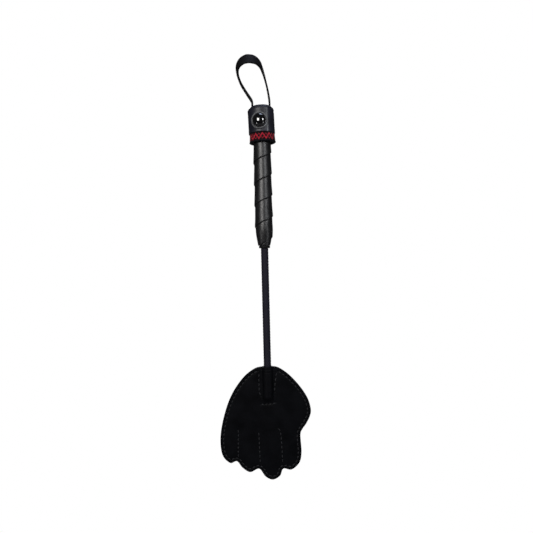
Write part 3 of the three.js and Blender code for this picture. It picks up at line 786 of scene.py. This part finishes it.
class SWATTER_OT_cuff(bpy.types.Operator):
    """Wraps the cuff once round the cap, end over start, and closes it with the top"""

    bl_idname = "swatter.cuff"
    bl_label = "Cuff and top"

    highlight_strip = 1.9 * MM        # width of the strip along the cuff's end that is painted pale as a highlight
    fall_turn = 7           # degrees over which the cuff's end thins
    thinned = 0.62          # in millimetres, like the sizes below
    lip, step = 0.12, 0.25  # how far the end stands up, and how far the start sinks under it
    bore = 14.4
    foot, head = 10.8, 39.7
    hole = 2.1              # radius of the hole for the stud's post
    reach = 18              # half the length of the punch that makes it

    def execute(self, context):
        cap = context.scene.swatter_cap
        hide = leather("cap_leather", cap.leather, 0.8 * MM, 0.09 * MM, 0.34, 0.38, creased=0.25)
        edge = cap.cuff_edge - math.pi / 2
        fine = np.concatenate([
            np.linspace(0, 4, 17), np.linspace(5, 350, 200), np.linspace(351, 359.75, 36),
        ])
        turn = fine / 360
        lip = np.exp(-(((360 - fine) / 4) ** 2)) * self.lip - np.exp(-((fine / 2.2) ** 2)) * self.step
        outer = (cap.cuff_radius + cap.cuff_lap * turn + lip * MM) / MM
        fall = np.clip((360 - fine) / self.fall_turn, 0, 1)
        outer = outer - (1 - fall) ** 1.4 * self.thinned
        section = soften([(0, self.foot), (1, self.foot), (1, self.head), (0, self.head)], 0.55, 5)
        rise = np.linspace(0, 1, 26)[1:-1]
        right = section[:, 0] >= 0.999
        first = np.flatnonzero(right & (section[:, 1] < 20))[-1]
        low, high = section[first][1], section[first + 1][1]
        side = [(1.0, low + (high - low) * share) for share in rise]
        section = np.vstack([section[:first + 1], side, section[first + 1:]])
        angles = edge + turn * 2 * math.pi
        rings = []
        for share, height in section:
            radius = self.bore + share * (outer - self.bore)
            flat = radius * np.array([np.cos(angles), np.sin(angles)])
            ring = np.stack([*flat, np.full_like(radius, height)], axis=-1)
            bulge = 1 + ripple(ring, 15) * 0.006 * share
            ring[:, :2] *= bulge[:, None]
            rings.append(ring * MM)
        cuff = cap_piece("lapped_cuff", skin(rings, "joined"), hide, "cap_cuff", 45)
        # A strip along the cuff's end gets a pale material: a painted highlight where its cut edge catches
        # the light.
        highlight_strip = leather("painted_edge_highlight", cap.painted_edge_highlight, 0.4 * MM, 0.10 * MM, 0.7, 0.2, rub_and_highlight=1.2)
        cuff.data.materials.append(highlight_strip)
        start = edge - self.highlight_strip / (cap.cuff_radius + cap.cuff_lap)
        for face in cuff.data.polygons:
            behind = (edge - math.atan2(face.center.y, face.center.x)) % (2 * math.pi)
            out = math.hypot(face.center.x, face.center.y)
            if behind < edge - start and out > cap.cuff_radius - 0.4 * MM:
                face.material_index = 1
        turn_out = Matrix.Rotation(cap.stud_angle, 4, "Z") @ Matrix.Rotation(math.pi / 2, 4, "X")
        points, faces = skin(turned([(self.hole * MM, 0), (self.hole * MM, 2 * self.reach * MM)], 24))
        lifted = np.array([turn_out @ Vector(point) for point in points]) + (0, 0, STUD_HEIGHT)
        cut(cuff, (lifted, faces))
        top_corners = [(0.02, 40), (15.3, 40), (15.3, 40.9), (12, 44), (0.02, 44)]
        outline = np.vstack([
            top_corners[:1], soften(top_corners, 0.5, 4)[5:20], [(6, 44.05), (0.02, 44.1)],
        ]) * MM
        top = cap_piece("bevelled_top", skin(turned(outline)), hide, "cap_top", 60)
        slots = []
        for across in (STRAP_LEFT, STRAP_RIGHT):
            bar = flat_bar(13.1, 2.8, 0.8) * MM
            ring = np.stack([bar[:, 1] + across * MM, bar[:, 0]], axis=-1)
            slots.append(skin([[(x, y, z * MM) for x, y in ring] for z in (38, 46)]))
        cut(top, *slots)
        return {"FINISHED"}


class SWATTER_OT_stud(bpy.types.Operator):
    """Makes the domed stud and the embossed washer under it"""

    bl_idname = "swatter.stud"
    bl_label = "Stud and washer"

    seat = 16.7 * MM            # from the cap's axis to the washer's back
    stud_seat = 18.0 * MM       # and to the stud's
    rim_start = 8.75 * MM       # the washer's raised rim is given the pale painted highlight beyond this radius

    def faced(self, rings, angle, seat):
        """Lays rings drawn on an upright axis against the round cuff: radius out, height away from it."""
        turn = Matrix.Rotation(angle, 4, "Z") @ Matrix.Rotation(math.pi / 2, 4, "X")
        laid = []
        for ring in rings:
            bent = []
            for x, y, away in ring:
                radius = seat + away
                across = x / seat
                bent.append(turn @ Vector((math.sin(across) * radius, y, math.cos(across) * radius)))
            laid.append([(point.x, point.y, point.z + STUD_HEIGHT) for point in bent])
        return np.array(laid)

    def execute(self, context):
        cap = context.scene.swatter_cap
        # The large factor paints the washer's sharp edges pale: a painted highlight.
        hide = leather("washer_leather", cap.leather, 0.7 * MM, 0.06 * MM, 0.30, 0.6, rub_and_highlight=16.0)
        section = [
            (2.4, 0.0), (9.5, 0.0), (9.85, 0.2), (9.95, 0.7), (9.85, 1.2), (9.6, 1.5), (9.25, 1.6),
            (8.9, 1.5), (8.65, 1.2), (8.45, 0.8), (8.1, 0.7), (5.0, 0.8), (2.4, 0.8),
        ]
        washer = skin(self.faced(turned(np.array(section) * MM, 72), cap.stud_angle, self.seat), "joined")
        ring = cap_piece("embossed_washer", washer, hide, "stud_washer")
        # The raised rim takes the pale material of the painted highlight.
        ring.data.materials.append(bpy.data.materials["painted_edge_highlight"])
        sideways_on = Vector((math.cos(cap.stud_angle), math.sin(cap.stud_angle), 0))
        for face in ring.data.polygons:
            out = math.hypot(face.center.dot(sideways_on), face.center.z - STUD_HEIGHT)
            face.material_index = int(out > self.rim_start)
        radius, dome = cap.stud_radius, cap.stud_dome
        rise = np.linspace(0, math.pi / 2, 15)[:-1]
        arc = [(radius * math.cos(angle), 0.55 * MM + dome * math.sin(angle)) for angle in rise]
        outline = [
            (0.1 * MM, 0.0), (radius - 0.5 * MM, 0.0), (radius - 0.1 * MM, 0.12 * MM), *arc,
            (0.25 * MM, 0.5495 * MM + dome),
        ]
        rings = self.faced(turned(outline, 72), cap.stud_angle, self.stud_seat)
        cap_piece("domed_stud", skin(rings), black_enamel(), "stud_cap")
        return {"FINISHED"}


# ---- Strap ----


class SWATTER_OT_strap(bpy.types.Operator):
    """Carries the strap out of the cap, round its loop and back in"""

    bl_idname = "swatter.strap"
    bl_label = "Strap"

    # Across the cap, and along the strap above the cap's top, in millimetres.
    knots = (
        (STRAP_LEFT, -20.3), (STRAP_LEFT, -10), (STRAP_LEFT, 0), (STRAP_LEFT, 7.25),
        (-15.2, 16), (-21.4, 27), (-25, 38), (-25.2, 48), (-21, 56), (-13.5, 60.5), (-4.5, 58.5),
        (1.6, 51.5), (5.2, 40.5), (8, 28.5), (10, 17),
        (STRAP_RIGHT, 7.25), (STRAP_RIGHT, 0), (STRAP_RIGHT, -10), (STRAP_RIGHT, -20.3),
    )
    straight = 7.25         # the legs' straight part above the cap
    rise = 60.5             # the highest of the knots
    twist = math.radians(10)    # the most that the left leg turns its outer face forward
    halfway = STRAP_LEFT / 2    # the left leg ends here

    def execute(self, context):
        strap = context.scene.swatter_strap
        line = evenly(through(self.knots, 16), 0.9)
        ahead = np.gradient(line, axis=0)
        ahead /= np.linalg.norm(ahead, axis=1)[:, None]
        bar = flat_bar(strap.width, strap.thick, 0.75 * MM, 5)
        bend = strap.lean / (self.rise - self.straight)
        rings = []
        for (across, along), (run, climb) in zip(line, ahead):
            leant = max(along - self.straight, 0) * bend
            up = Vector((0, -math.sin(leant), math.cos(leant)))
            back = Vector((0, math.cos(leant), math.sin(leant)))
            outward = Vector((-climb, 0, 0)) + up * run
            most = self.twist if across < self.halfway else 0
            share = min(max((along - self.straight) / (self.rise - self.straight), 0), 1)
            twist = most * math.sin(math.pi * share)
            wide = back * math.cos(twist) + outward * math.sin(twist)
            thick = outward * math.cos(twist) - back * math.sin(twist)
            height = CAP_TOP + min(along, self.straight) + math.sin(leant) / bend
            middle = Vector((across, -(1 - math.cos(leant)) / bend, height)) * MM
            uneven = 1 + 0.02 * math.sin(along * 0.31) + 0.012 * math.sin(across * 0.9 + 1)
            rings.append([middle + wide * (w * uneven) + thick * (t * uneven) for w, t in bar])
        hide = leather("strap_leather", strap.leather, 0.6 * MM, 0.06 * MM, 0.48, 0.07, creased=0.1)
        loop = make("wrist_loop", skin(rings), hide, CAP_PLACE, 60)
        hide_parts("wrist_strap", "strap_tail_left", "strap_tail_right")
        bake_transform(loop)
        return {"FINISHED"}


# ---- Shaft ----


class SWATTER_OT_shaft(bpy.types.Operator):
    """Braids the sleeve over the sprung rod"""

    bl_idname = "swatter.shaft"
    bl_label = "Shaft"

    bared = 6.3 * MM        # the rod's end that the sleeve leaves free
    bore = 3.5 * MM         # the sleeve's
    step = 0.3 * MM         # height of a row of its points
    round_off = 0.55        # how quickly a strand's crown rises from its sides

    def execute(self, context):
        shaft = context.scene.swatter_shaft
        top = MOUTH + SEAT
        low = ROD_TIP + self.bared
        sides, lead = 96, 2 * math.pi * shaft.radius
        angles = np.linspace(0, 1, sides, endpoint=False)
        heights = np.linspace(low, top, round((top - low) / self.step))
        turn, height = np.meshgrid(angles, heights)
        one = shaft.strands * (turn + height / lead)
        other = shaft.strands * (turn - height / lead)
        across_one = np.sin(math.pi * (one % 1)) ** self.round_off
        across_other = np.sin(math.pi * (other % 1)) ** self.round_off
        over = (np.floor(one) + np.floor(other)) % 2 == 0
        crown = np.where(
            over, across_one * (0.35 + 0.65 * np.sin(math.pi * (other % 1))),
            across_other * (0.35 + 0.65 * np.sin(math.pi * (one % 1))),
        )
        radius = shaft.radius - shaft.relief + shaft.relief * crown
        wall = np.stack([
            radius * np.cos(turn * 2 * math.pi), radius * np.sin(turn * 2 * math.pi), height,
        ], axis=-1)
        bore = turned([(self.bore, top), (self.bore, (top + low) / 2), (self.bore, low)], sides)
        sleeve = make(
            "braided_sleeve", skin(np.vstack([wall, bore]), "joined"), braided_cord(shaft.braid),
            crease=80,
        )
        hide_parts("shaft_sheath")
        rod_low, rod_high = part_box("shaft_rod")
        half = rod_high.x
        outline = [(0.02 * MM, rod_low.z), (half - 0.3 * MM, rod_low.z), (half, rod_low.z + 0.3 * MM)]
        outline += [(half, height) for height in np.linspace(rod_low.z + 2 * MM, rod_high.z - 1 * MM, 60)]
        outline += [(half - 0.6 * MM, rod_high.z), (0.02 * MM, rod_high.z)]
        rod = make("sprung_rod", skin(turned(outline, 48)), drawn_fibreglass())
        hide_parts("shaft_rod")
        for piece in (sleeve, rod):
            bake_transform(piece)
        return {"FINISHED"}


# ---- Hand ----

# The cutting pattern: across, and down from the top edge, in millimetres. It runs from the mouth down the
# little finger's side, round the four fingertips and up over the thumb.
PATTERN = (
    (-4.5, 0), (-15.4, 2.2), (-29.8, 13), (-44.4, 33.4), (-53.9, 57.6), (-59.2, 84), (-57.5, 105.8),
    (-48.4, 116.3), (-39.9, 114.5), (-33.2, 122.5), (-24, 128), (-13.1, 124.2), (-5.6, 133.8), (3.2, 137.8),
    (12, 133.4), (16.3, 124.8), (26.4, 126), (36, 117.8), (38.9, 105), (38.1, 84), (41, 76.6),
    (45, 71.3), (49.8, 62.3), (51.5, 53.6), (48.1, 40.3), (38.9, 25.4), (25.5, 10.5), (13, 1.7), (4.5, 0),
)
# Each short seam: its line, and how many stitches it has.
POCKET_SEAMS = {
    "left": ([(-10.7, 8.5), (-10.8, 28.5), (-9.0, 35.5)], 5),
    "right": ([(10.8, 7.5), (8.6, 22), (7.9, 31)], 4),
    "floor": ([(-9, 45.9), (4, 45.7), (9, 44.0)], 4),
}
FINGER_SEAMS = {
    "little": ([(-37.4, 76), (-38.2, 110.2)], 7),
    "middle": ([(-12.6, 79.7), (-11.6, 117.3)], 7),
    "fore": ([(11.0, 75.2), (14.2, 82.5), (15.7, 118)], 8),
}
TOP_MM = HAND_TOP / MM
CHANNEL = 4.85          # radius of the rod's channel between the layers, in millimetres


def hung(line):
    """Points of the pattern, with the height in place of the depth."""
    return np.array([(across, TOP_MM - down) for across, down in line], float)


def inside(points, outline):
    """Which points lie inside a closed outline."""
    x, z = points[:, 0, None], points[:, 1, None]
    x0, z0 = outline[:, 0], outline[:, 1]
    x1, z1 = np.roll(x0, -1), np.roll(z0, -1)
    crosses = (z0 > z) != (z1 > z)
    slope = np.where(z1 == z0, 1, z1 - z0)
    return ((crosses & (x < (x1 - x0) * (z - z0) / slope + x0)).sum(1) % 2) == 1


def sideways(line, distance):
    """An open or closed line moved to its left."""
    along = np.gradient(line, axis=0)
    along /= np.linalg.norm(along, axis=1)[:, None]
    return line + np.stack([-along[:, 1], along[:, 0]], axis=-1) * distance


def dent(distance, depth, width):
    """How far the leather is pressed in at a distance from a mark."""
    return depth * np.exp(-((distance / width) ** 2))


class HandShape:
    """The hand's outline, its seams and the height of its leather, in millimetres."""

    # The depth and width of what is pressed into the leather.
    groove = (0.34, 0.85)           # along each seam
    hole_mark = (0.45, 0.75)        # round each stitch's hole
    tooled = (0.12, 0.5)            # the line along the edge
    crease = (0.42, 0.55)           # across the ridge at its mouth
    crease_depths = (3.4, 6.6)      # where those lie below the top edge
    tooled_inset = 1.7
    bevel = 0.75                    # of the cut edge
    ridge_foot, ridge_full = 44.5, 36       # below the top edge
    mouth_half, mouth_reach = 12.4, 20      # where the edge seam stays clear of the rod's mouth

    def __init__(self, hand):
        self.face = hand.leather_thick / MM + GAP / MM / 2
        self.ridge = hand.ridge / MM
        self.puff = hand.puff / MM
        curve = through(hung(PATTERN), 24)
        mouth = np.linspace(curve[-1], curve[0], 13)[1:-1]
        self.outline = np.vstack([evenly(curve, 0.85), mouth])
        inset = evenly(sideways(evenly(curve, 0.5), hand.inset / MM), 0.25)
        apart = nearest(inset, self.outline)
        inset = inset[apart > hand.inset / MM - 0.15]
        top = inset[:, 1] > TOP_MM - self.mouth_reach
        self.edge = inset[~(top & (np.abs(inset[:, 0]) < self.mouth_half))]
        self.rows = {"edge": self.stitched(evenly(self.edge, 0.25), pitch=hand.pitch / MM)}
        for seams in (POCKET_SEAMS, FINGER_SEAMS):
            for name, (line, count) in seams.items():
                self.rows[name] = self.stitched(evenly(through(hung(line), 12), 0.25), count=count)
        self.seams = np.vstack([line for line, _ in self.rows.values()])
        self.holes = np.vstack([at_runs(line, runs) for line, runs in self.rows.values()])

    def stitched(self, line, pitch=None, count=None):
        """A seam's line and how far along it the holes lie."""
        total = run_of(line)[-1]
        count = count or round(total / pitch)
        return line, np.linspace(0, total, count + 1)

    def bulge(self, points, radius, foot, top):
        """How far a round ridge along the rod stands above the flat, sloping down to nothing."""
        across = np.abs(points[:, 0])
        rise = np.sqrt(np.maximum(radius ** 2 - across ** 2, 0)) - self.face
        rise = np.where(across > radius, -self.face - 2 * (across - radius), rise)
        soft = 0.32
        rise = soft * np.logaddexp(0, rise / soft)
        return rise * smooth((points[:, 1] - foot) / (top - foot))

    def heights(self, points, edge=None):
        """The leather's outer face above the middle of the hand."""
        edge = nearest(points, self.outline) if edge is None else edge
        seam = nearest(points, self.seams)
        hole = nearest(points, self.holes)
        spot = np.stack([points[:, 0], np.zeros(len(points)), points[:, 1]], axis=-1)
        free = np.minimum(edge * 0.8, seam)
        rise = self.face + self.puff * (1 - np.exp(-(free / 6.5) ** 2))
        rise = rise + 0.16 * ripple(spot, 43) + 0.06 * ripple(spot, 13)
        rise = rise + self.bulge(points, self.ridge, TOP_MM - self.ridge_foot, TOP_MM - self.ridge_full)
        down = TOP_MM - points[:, 1]
        narrow = np.exp(-((points[:, 0] / 8.0) ** 8))
        for depth in self.crease_depths:
            rise = rise - narrow * dent(down - depth, *self.crease)
        rise = rise - dent(seam, *self.groove) - dent(hole, *self.hole_mark)
        near = np.clip(edge / self.bevel, 0, 1)
        rounded = self.bevel * (1 - np.sqrt(1 - (1 - near) ** 2))
        return rise - rounded - dent(edge - self.tooled_inset, *self.tooled)

    def under(self, points):
        """The leather's inner face above the middle of the hand, with the channel for the rod."""
        across = np.minimum(np.abs(points[:, 0]), CHANNEL)
        rise = np.sqrt(CHANNEL ** 2 - across ** 2)
        end = ROD_TIP / MM - 0.5
        gap = GAP / MM / 2
        return np.maximum(rise * smooth((points[:, 1] - end + 2.5) / 2.5), gap)

    def filled(self, sets, gap, spacing):
        """Triangles over the outline through sets of points, the later ones kept off the earlier."""
        points = self.outline
        limits = self.outline.min(0), self.outline.max(0)
        x = np.arange(limits[0][0], limits[1][0], spacing)
        z = np.arange(limits[0][1], limits[1][1], spacing * 0.866)
        grid = np.stack(np.meshgrid(x, z), axis=-1)
        grid[1::2, :, 0] += spacing / 2
        for some, apart in [*sets, (grid.reshape(-1, 2), spacing * 0.6)]:
            some = some[inside(some, self.outline)]
            some = some[nearest(some, self.outline) > gap]
            some = some[nearest(some, points) > apart]
            points = np.vstack([points, some])
        count = len(self.outline)
        ring = [(i, (i + 1) % count) for i in range(count)]
        spots = [Vector(point) for point in points]
        corners, _, faces, _, _, _ = delaunay_2d_cdt(spots, ring, [], 1, 1e-6)
        return np.array([corner[:] for corner in corners]), faces

    def layer(self, side):
        """One closed layer of leather: side -1 is the front and 1 the back."""
        around = np.vstack([self.outline, self.outline[:2]])
        rims = [(sideways(around, inset)[1:-1], 0.12) for inset in (0.2, 0.5, 0.95)]
        rows = [
            (sideways(at_runs(line, np.arange(0, run_of(line)[-1], 0.62)), shift), 0.2)
            for line, _ in self.rows.values() for shift in (0, 0.45, -0.45, 0.95, -0.95, 1.6, -1.6)
        ]
        x, z = np.meshgrid(np.arange(-8.7, 8.8, 0.58), np.arange(TOP_MM - 54, TOP_MM - 0.5, 0.72))
        ridge = [(np.stack([x, z], axis=-1).reshape(-1, 2), 0.25)]
        outer, outer_faces = self.filled([*rims, *rows, *ridge], 0.1, 1.35)
        spread = (CHANNEL + 0.01) * np.sin(np.radians(np.arange(-90, 91, 15)))
        x, z = np.meshgrid(spread, np.arange(TOP_MM - 40, TOP_MM, 2))
        inner, inner_faces = self.filled([(np.stack([x, z], axis=-1).reshape(-1, 2), 0.3)], 0.1, 4.0)
        high = np.stack([outer[:, 0], side * self.heights(outer), outer[:, 1]], axis=-1)
        deep = np.stack([inner[:, 0], side * self.under(inner), inner[:, 1]], axis=-1)
        count = len(self.outline)
        wall = [[i, (i + 1) % count, len(outer) + (i + 1) % count, len(outer) + i] for i in range(count)]
        below = [[len(outer) + corner for corner in face][::-1] for face in inner_faces]
        return np.vstack([high, deep]) * MM, [*outer_faces, *below, *wall]

    def stitches(self, names, side, radius, cover=0.68):
        """The threads of some seams on one face: each dips into the leather at its two ends."""
        shapes = []
        share = np.array([0.0, 0.05, 0.14, 0.3, 0.5, 0.7, 0.86, 0.95, 1.0])
        lift = np.array([-0.75, -0.25, 0.16, 0.30, 0.34, 0.30, 0.16, -0.25, -0.75])
        thick = np.array([0.55, 0.75, 0.92, 1.0, 1.02, 1.0, 0.92, 0.75, 0.55])
        around = np.linspace(0, 2 * math.pi, 8, endpoint=False)
        for name in names:
            line, holes = self.rows[name]
            for index, (start, end) in enumerate(zip(holes[:-1], holes[1:])):
                middle, half = (start + end) / 2, (end - start) * cover / 2
                path = at_runs(line, middle + (share * 2 - 1) * half)
                slant = 0.10 * math.sin(index * 2.4)
                along = path[-1] - path[0]
                along /= np.linalg.norm(along)
                across = np.array([-along[1], along[0]])
                path = path + across * (share[:, None] - 0.5) * 2 * slant
                level = self.heights(path).mean() * 0.6 + self.heights(path) * 0.4
                rings = []
                for point, height, width in zip(path, level + lift, thick):
                    size = radius * width
                    ring = [
                        (
                            point[0] + across[0] * size * math.cos(angle) * 1.1,
                            side * (height + size * math.sin(angle) * 0.85),
                            point[1] + across[1] * size * math.cos(angle) * 1.1,
                        )
                        for angle in around
                    ]
                    rings.append(ring)
                shapes.append(skin(np.array(rings) * MM))
        return shapes


class SWATTER_OT_hand(bpy.types.Operator):
    """Cuts the two layers of the hand and raises them over the rod"""

    bl_idname = "swatter.hand"
    bl_label = "Hand"

    def execute(self, context):
        hand = context.scene.swatter_hand
        shape = HandShape(hand)
        hide = leather(
            "hand_leather", hand.leather, 0.75 * MM, 0.09 * MM, 0.38, 0.045, rub_and_highlight=3.0, creased=0.25
        )
        thread = waxed_thread(hand.thread)
        radius = hand.thread_radius / MM
        rows = {
            "edge": (["edge"], ["left", "right", "fingers"]),
            "pocket": (POCKET_SEAMS, POCKET_SEAMS),
            "finger": (FINGER_SEAMS, FINGER_SEAMS),
        }
        pieces = []
        for side, face in ((-1, "front"), (1, "back")):
            layer = make(f"hand_leather_{face}", shape.layer(side), hide, crease=60)
            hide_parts(f"hand_{face}_upper", f"hand_{face}_lower")
            pieces.append(layer)
        for name, (seams, parts) in rows.items():
            threads = shape.stitches(seams, -1, radius) + shape.stitches(seams, 1, radius)
            piece = make(f"{name}_stitching", joined(threads), thread)
            nodes = [f"{name}_seam_{part}" for part in parts]
            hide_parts(*nodes)
            pieces.append(piece)
        for piece in pieces:
            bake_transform(piece)
        return {"FINISHED"}


# ---- Inner pieces and the stage ----


class SWATTER_OT_inner(bpy.types.Operator):
    """Gives the hidden pieces of the frame their wood, fibreglass, rubber and steel"""

    bl_idname = "swatter.inner"
    bl_label = "Inner pieces"

    def execute(self, context):
        stained = turned_wood("stained_wood", (0.018, 0.016, 0.015), (0.007, 0.006, 0.006))
        inner = (
            (turned_wood(), ("handle_core",)),
            (stained, ("pommel_block",)),
            (dipped_rubber(), ("rod_tip_cap",)),
            (brushed_steel(), ("stud_post", "strap_tack_left", "strap_tack_right")),
        )
        for material, nodes in inner:
            for node in nodes:
                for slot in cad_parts[node].material_slots:
                    slot.material = material
        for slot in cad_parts["rod_in_grip"].material_slots:
            slot.material = bpy.data.materials["drawn_fibreglass"]
        return {"FINISHED"}


class SWATTER_OT_stage(bpy.types.Operator):
    """Lays the pale floor and sets the soft lights and the camera"""

    bl_idname = "swatter.stage"
    bl_label = "Stage"

    # Each soft light: azimuth and elevation of its place, distance, width, height, power and tint.
    lights = {
        "left_softbox": (-24, 22, 1.2, 0.42, 0.36, 9.5, (1.0, 0.98, 0.96)),
        "right_softbox": (33, 22, 1.2, 0.18, 0.24, 4.2, (0.97, 0.98, 1.0)),
        "overhead": (40, 80, 1.1, 0.5, 0.5, 5.5, (0.66, 0.76, 1.0)),
        "low_left": (-48, -8, 1.1, 0.16, 0.30, 0.9, (1.0, 1.0, 1.0)),
        "low_right": (50, -8, 1.1, 0.16, 0.30, 0.9, (0.95, 0.97, 1.0)),
        "behind": (180, 32, 1.4, 0.6, 0.6, 10.0, (1.0, 1.0, 1.0)),
    }

    def execute(self, context):
        stage = context.scene.swatter_stage
        material = white_floor(stage.floor)
        level = CAD_BOX[0].z - stage.drop
        sides = 64
        disc = turned([(0.05, level), (1.0, level), (4.0, level)], sides)
        points, faces = skin(disc, "open")
        faces.append(list(range(sides))[::-1])
        floor = make("floor", (points, faces), material)
        target = Vector((0, 0, (CAD_BOX[0].z + CAD_BOX[1].z) / 2))
        for name, (azimuth, elevation, away, width, height, power, tint) in self.lights.items():
            side, rise = math.radians(azimuth), math.radians(elevation)
            flat = math.cos(rise)
            towards = Vector((math.sin(side) * flat, -math.cos(side) * flat, math.sin(rise)))
            light = bpy.data.lights.new(name, "AREA")
            light.shape = "RECTANGLE"
            light.size, light.size_y = width, height
            light.energy = power
            light.color = tint
            lamp = bpy.data.objects.new(name, light)
            lamp.location = target + towards * away
            lamp.rotation_mode = "QUATERNION"
            lamp.rotation_quaternion = (-towards).to_track_quat("-Z", "Y")
            lamp.visible_camera = False
            context.scene.collection.objects.link(lamp)
        world = bpy.data.worlds.new("studio")
        world.use_nodes = True
        nodes, links = world.node_tree.nodes, world.node_tree.links
        direct = nodes.new("ShaderNodeLightPath")
        strength = nodes.new("ShaderNodeMapRange")
        strength.inputs["To Min"].default_value = stage.surroundings
        background = nodes["Background"]
        background.inputs["Color"].default_value = (1, 1, 1, 1)
        links.new(direct.outputs["Is Camera Ray"], strength.inputs["Value"])
        links.new(strength.outputs["Result"], background.inputs["Strength"])
        context.scene.world = world
        lens = bpy.data.cameras.new("camera")
        lens.lens = stage.lens
        lens.sensor_width = 36
        camera = bpy.data.objects.new("camera", lens)
        roll = stage.roll
        right = Vector((math.cos(roll), 0, -math.sin(roll)))
        up = Vector((math.sin(roll), 0, math.cos(roll)))
        turn = Matrix((right, up, (0, -1, 0))).transposed().to_4x4()
        camera.matrix_world = Matrix.Translation(stage.camera) @ turn
        context.scene.collection.objects.link(camera)
        context.scene.camera = camera
        context.scene.view_settings.view_transform = "Standard"
        return {"FINISHED"}


OPERATORS = (
    SWATTER_OT_stage,
    SWATTER_OT_grip,
    SWATTER_OT_collar,
    SWATTER_OT_cuff,
    SWATTER_OT_stud,
    SWATTER_OT_strap,
    SWATTER_OT_shaft,
    SWATTER_OT_hand,
    SWATTER_OT_inner,
)


class SWATTER_PT_pieces(bpy.types.Panel):
    """Lists the swatter's pieces and their sizes"""

    bl_idname = "SWATTER_PT_pieces"
    bl_label = "Hand swatter"
    bl_space_type = "VIEW_3D"
    bl_region_type = "UI"
    bl_category = "Swatter"

    def draw(self, context):
        for operator in OPERATORS:
            self.layout.operator(operator.bl_idname)
        for name, group in SETTINGS.items():
            box = self.layout.box()
            box.label(text=name.replace("_", " ").capitalize())
            for key in group.__annotations__:
                box.prop(getattr(context.scene, name), key)


def register():
    for name, group in SETTINGS.items():
        bpy.utils.register_class(group)
        setattr(bpy.types.Scene, name, bpy.props.PointerProperty(type=group))
    for operator in OPERATORS:
        bpy.utils.register_class(operator)
    bpy.utils.register_class(SWATTER_PT_pieces)


def unregister():
    bpy.utils.unregister_class(SWATTER_PT_pieces)
    for operator in reversed(OPERATORS):
        bpy.utils.unregister_class(operator)
    for name, group in reversed(SETTINGS.items()):
        delattr(bpy.types.Scene, name)
        bpy.utils.unregister_class(group)


def main():
    register()
    for operator in OPERATORS:
        family, action = operator.bl_idname.split(".")
        getattr(getattr(bpy.ops, family), action)()


if __name__ == "__main__":
    main()
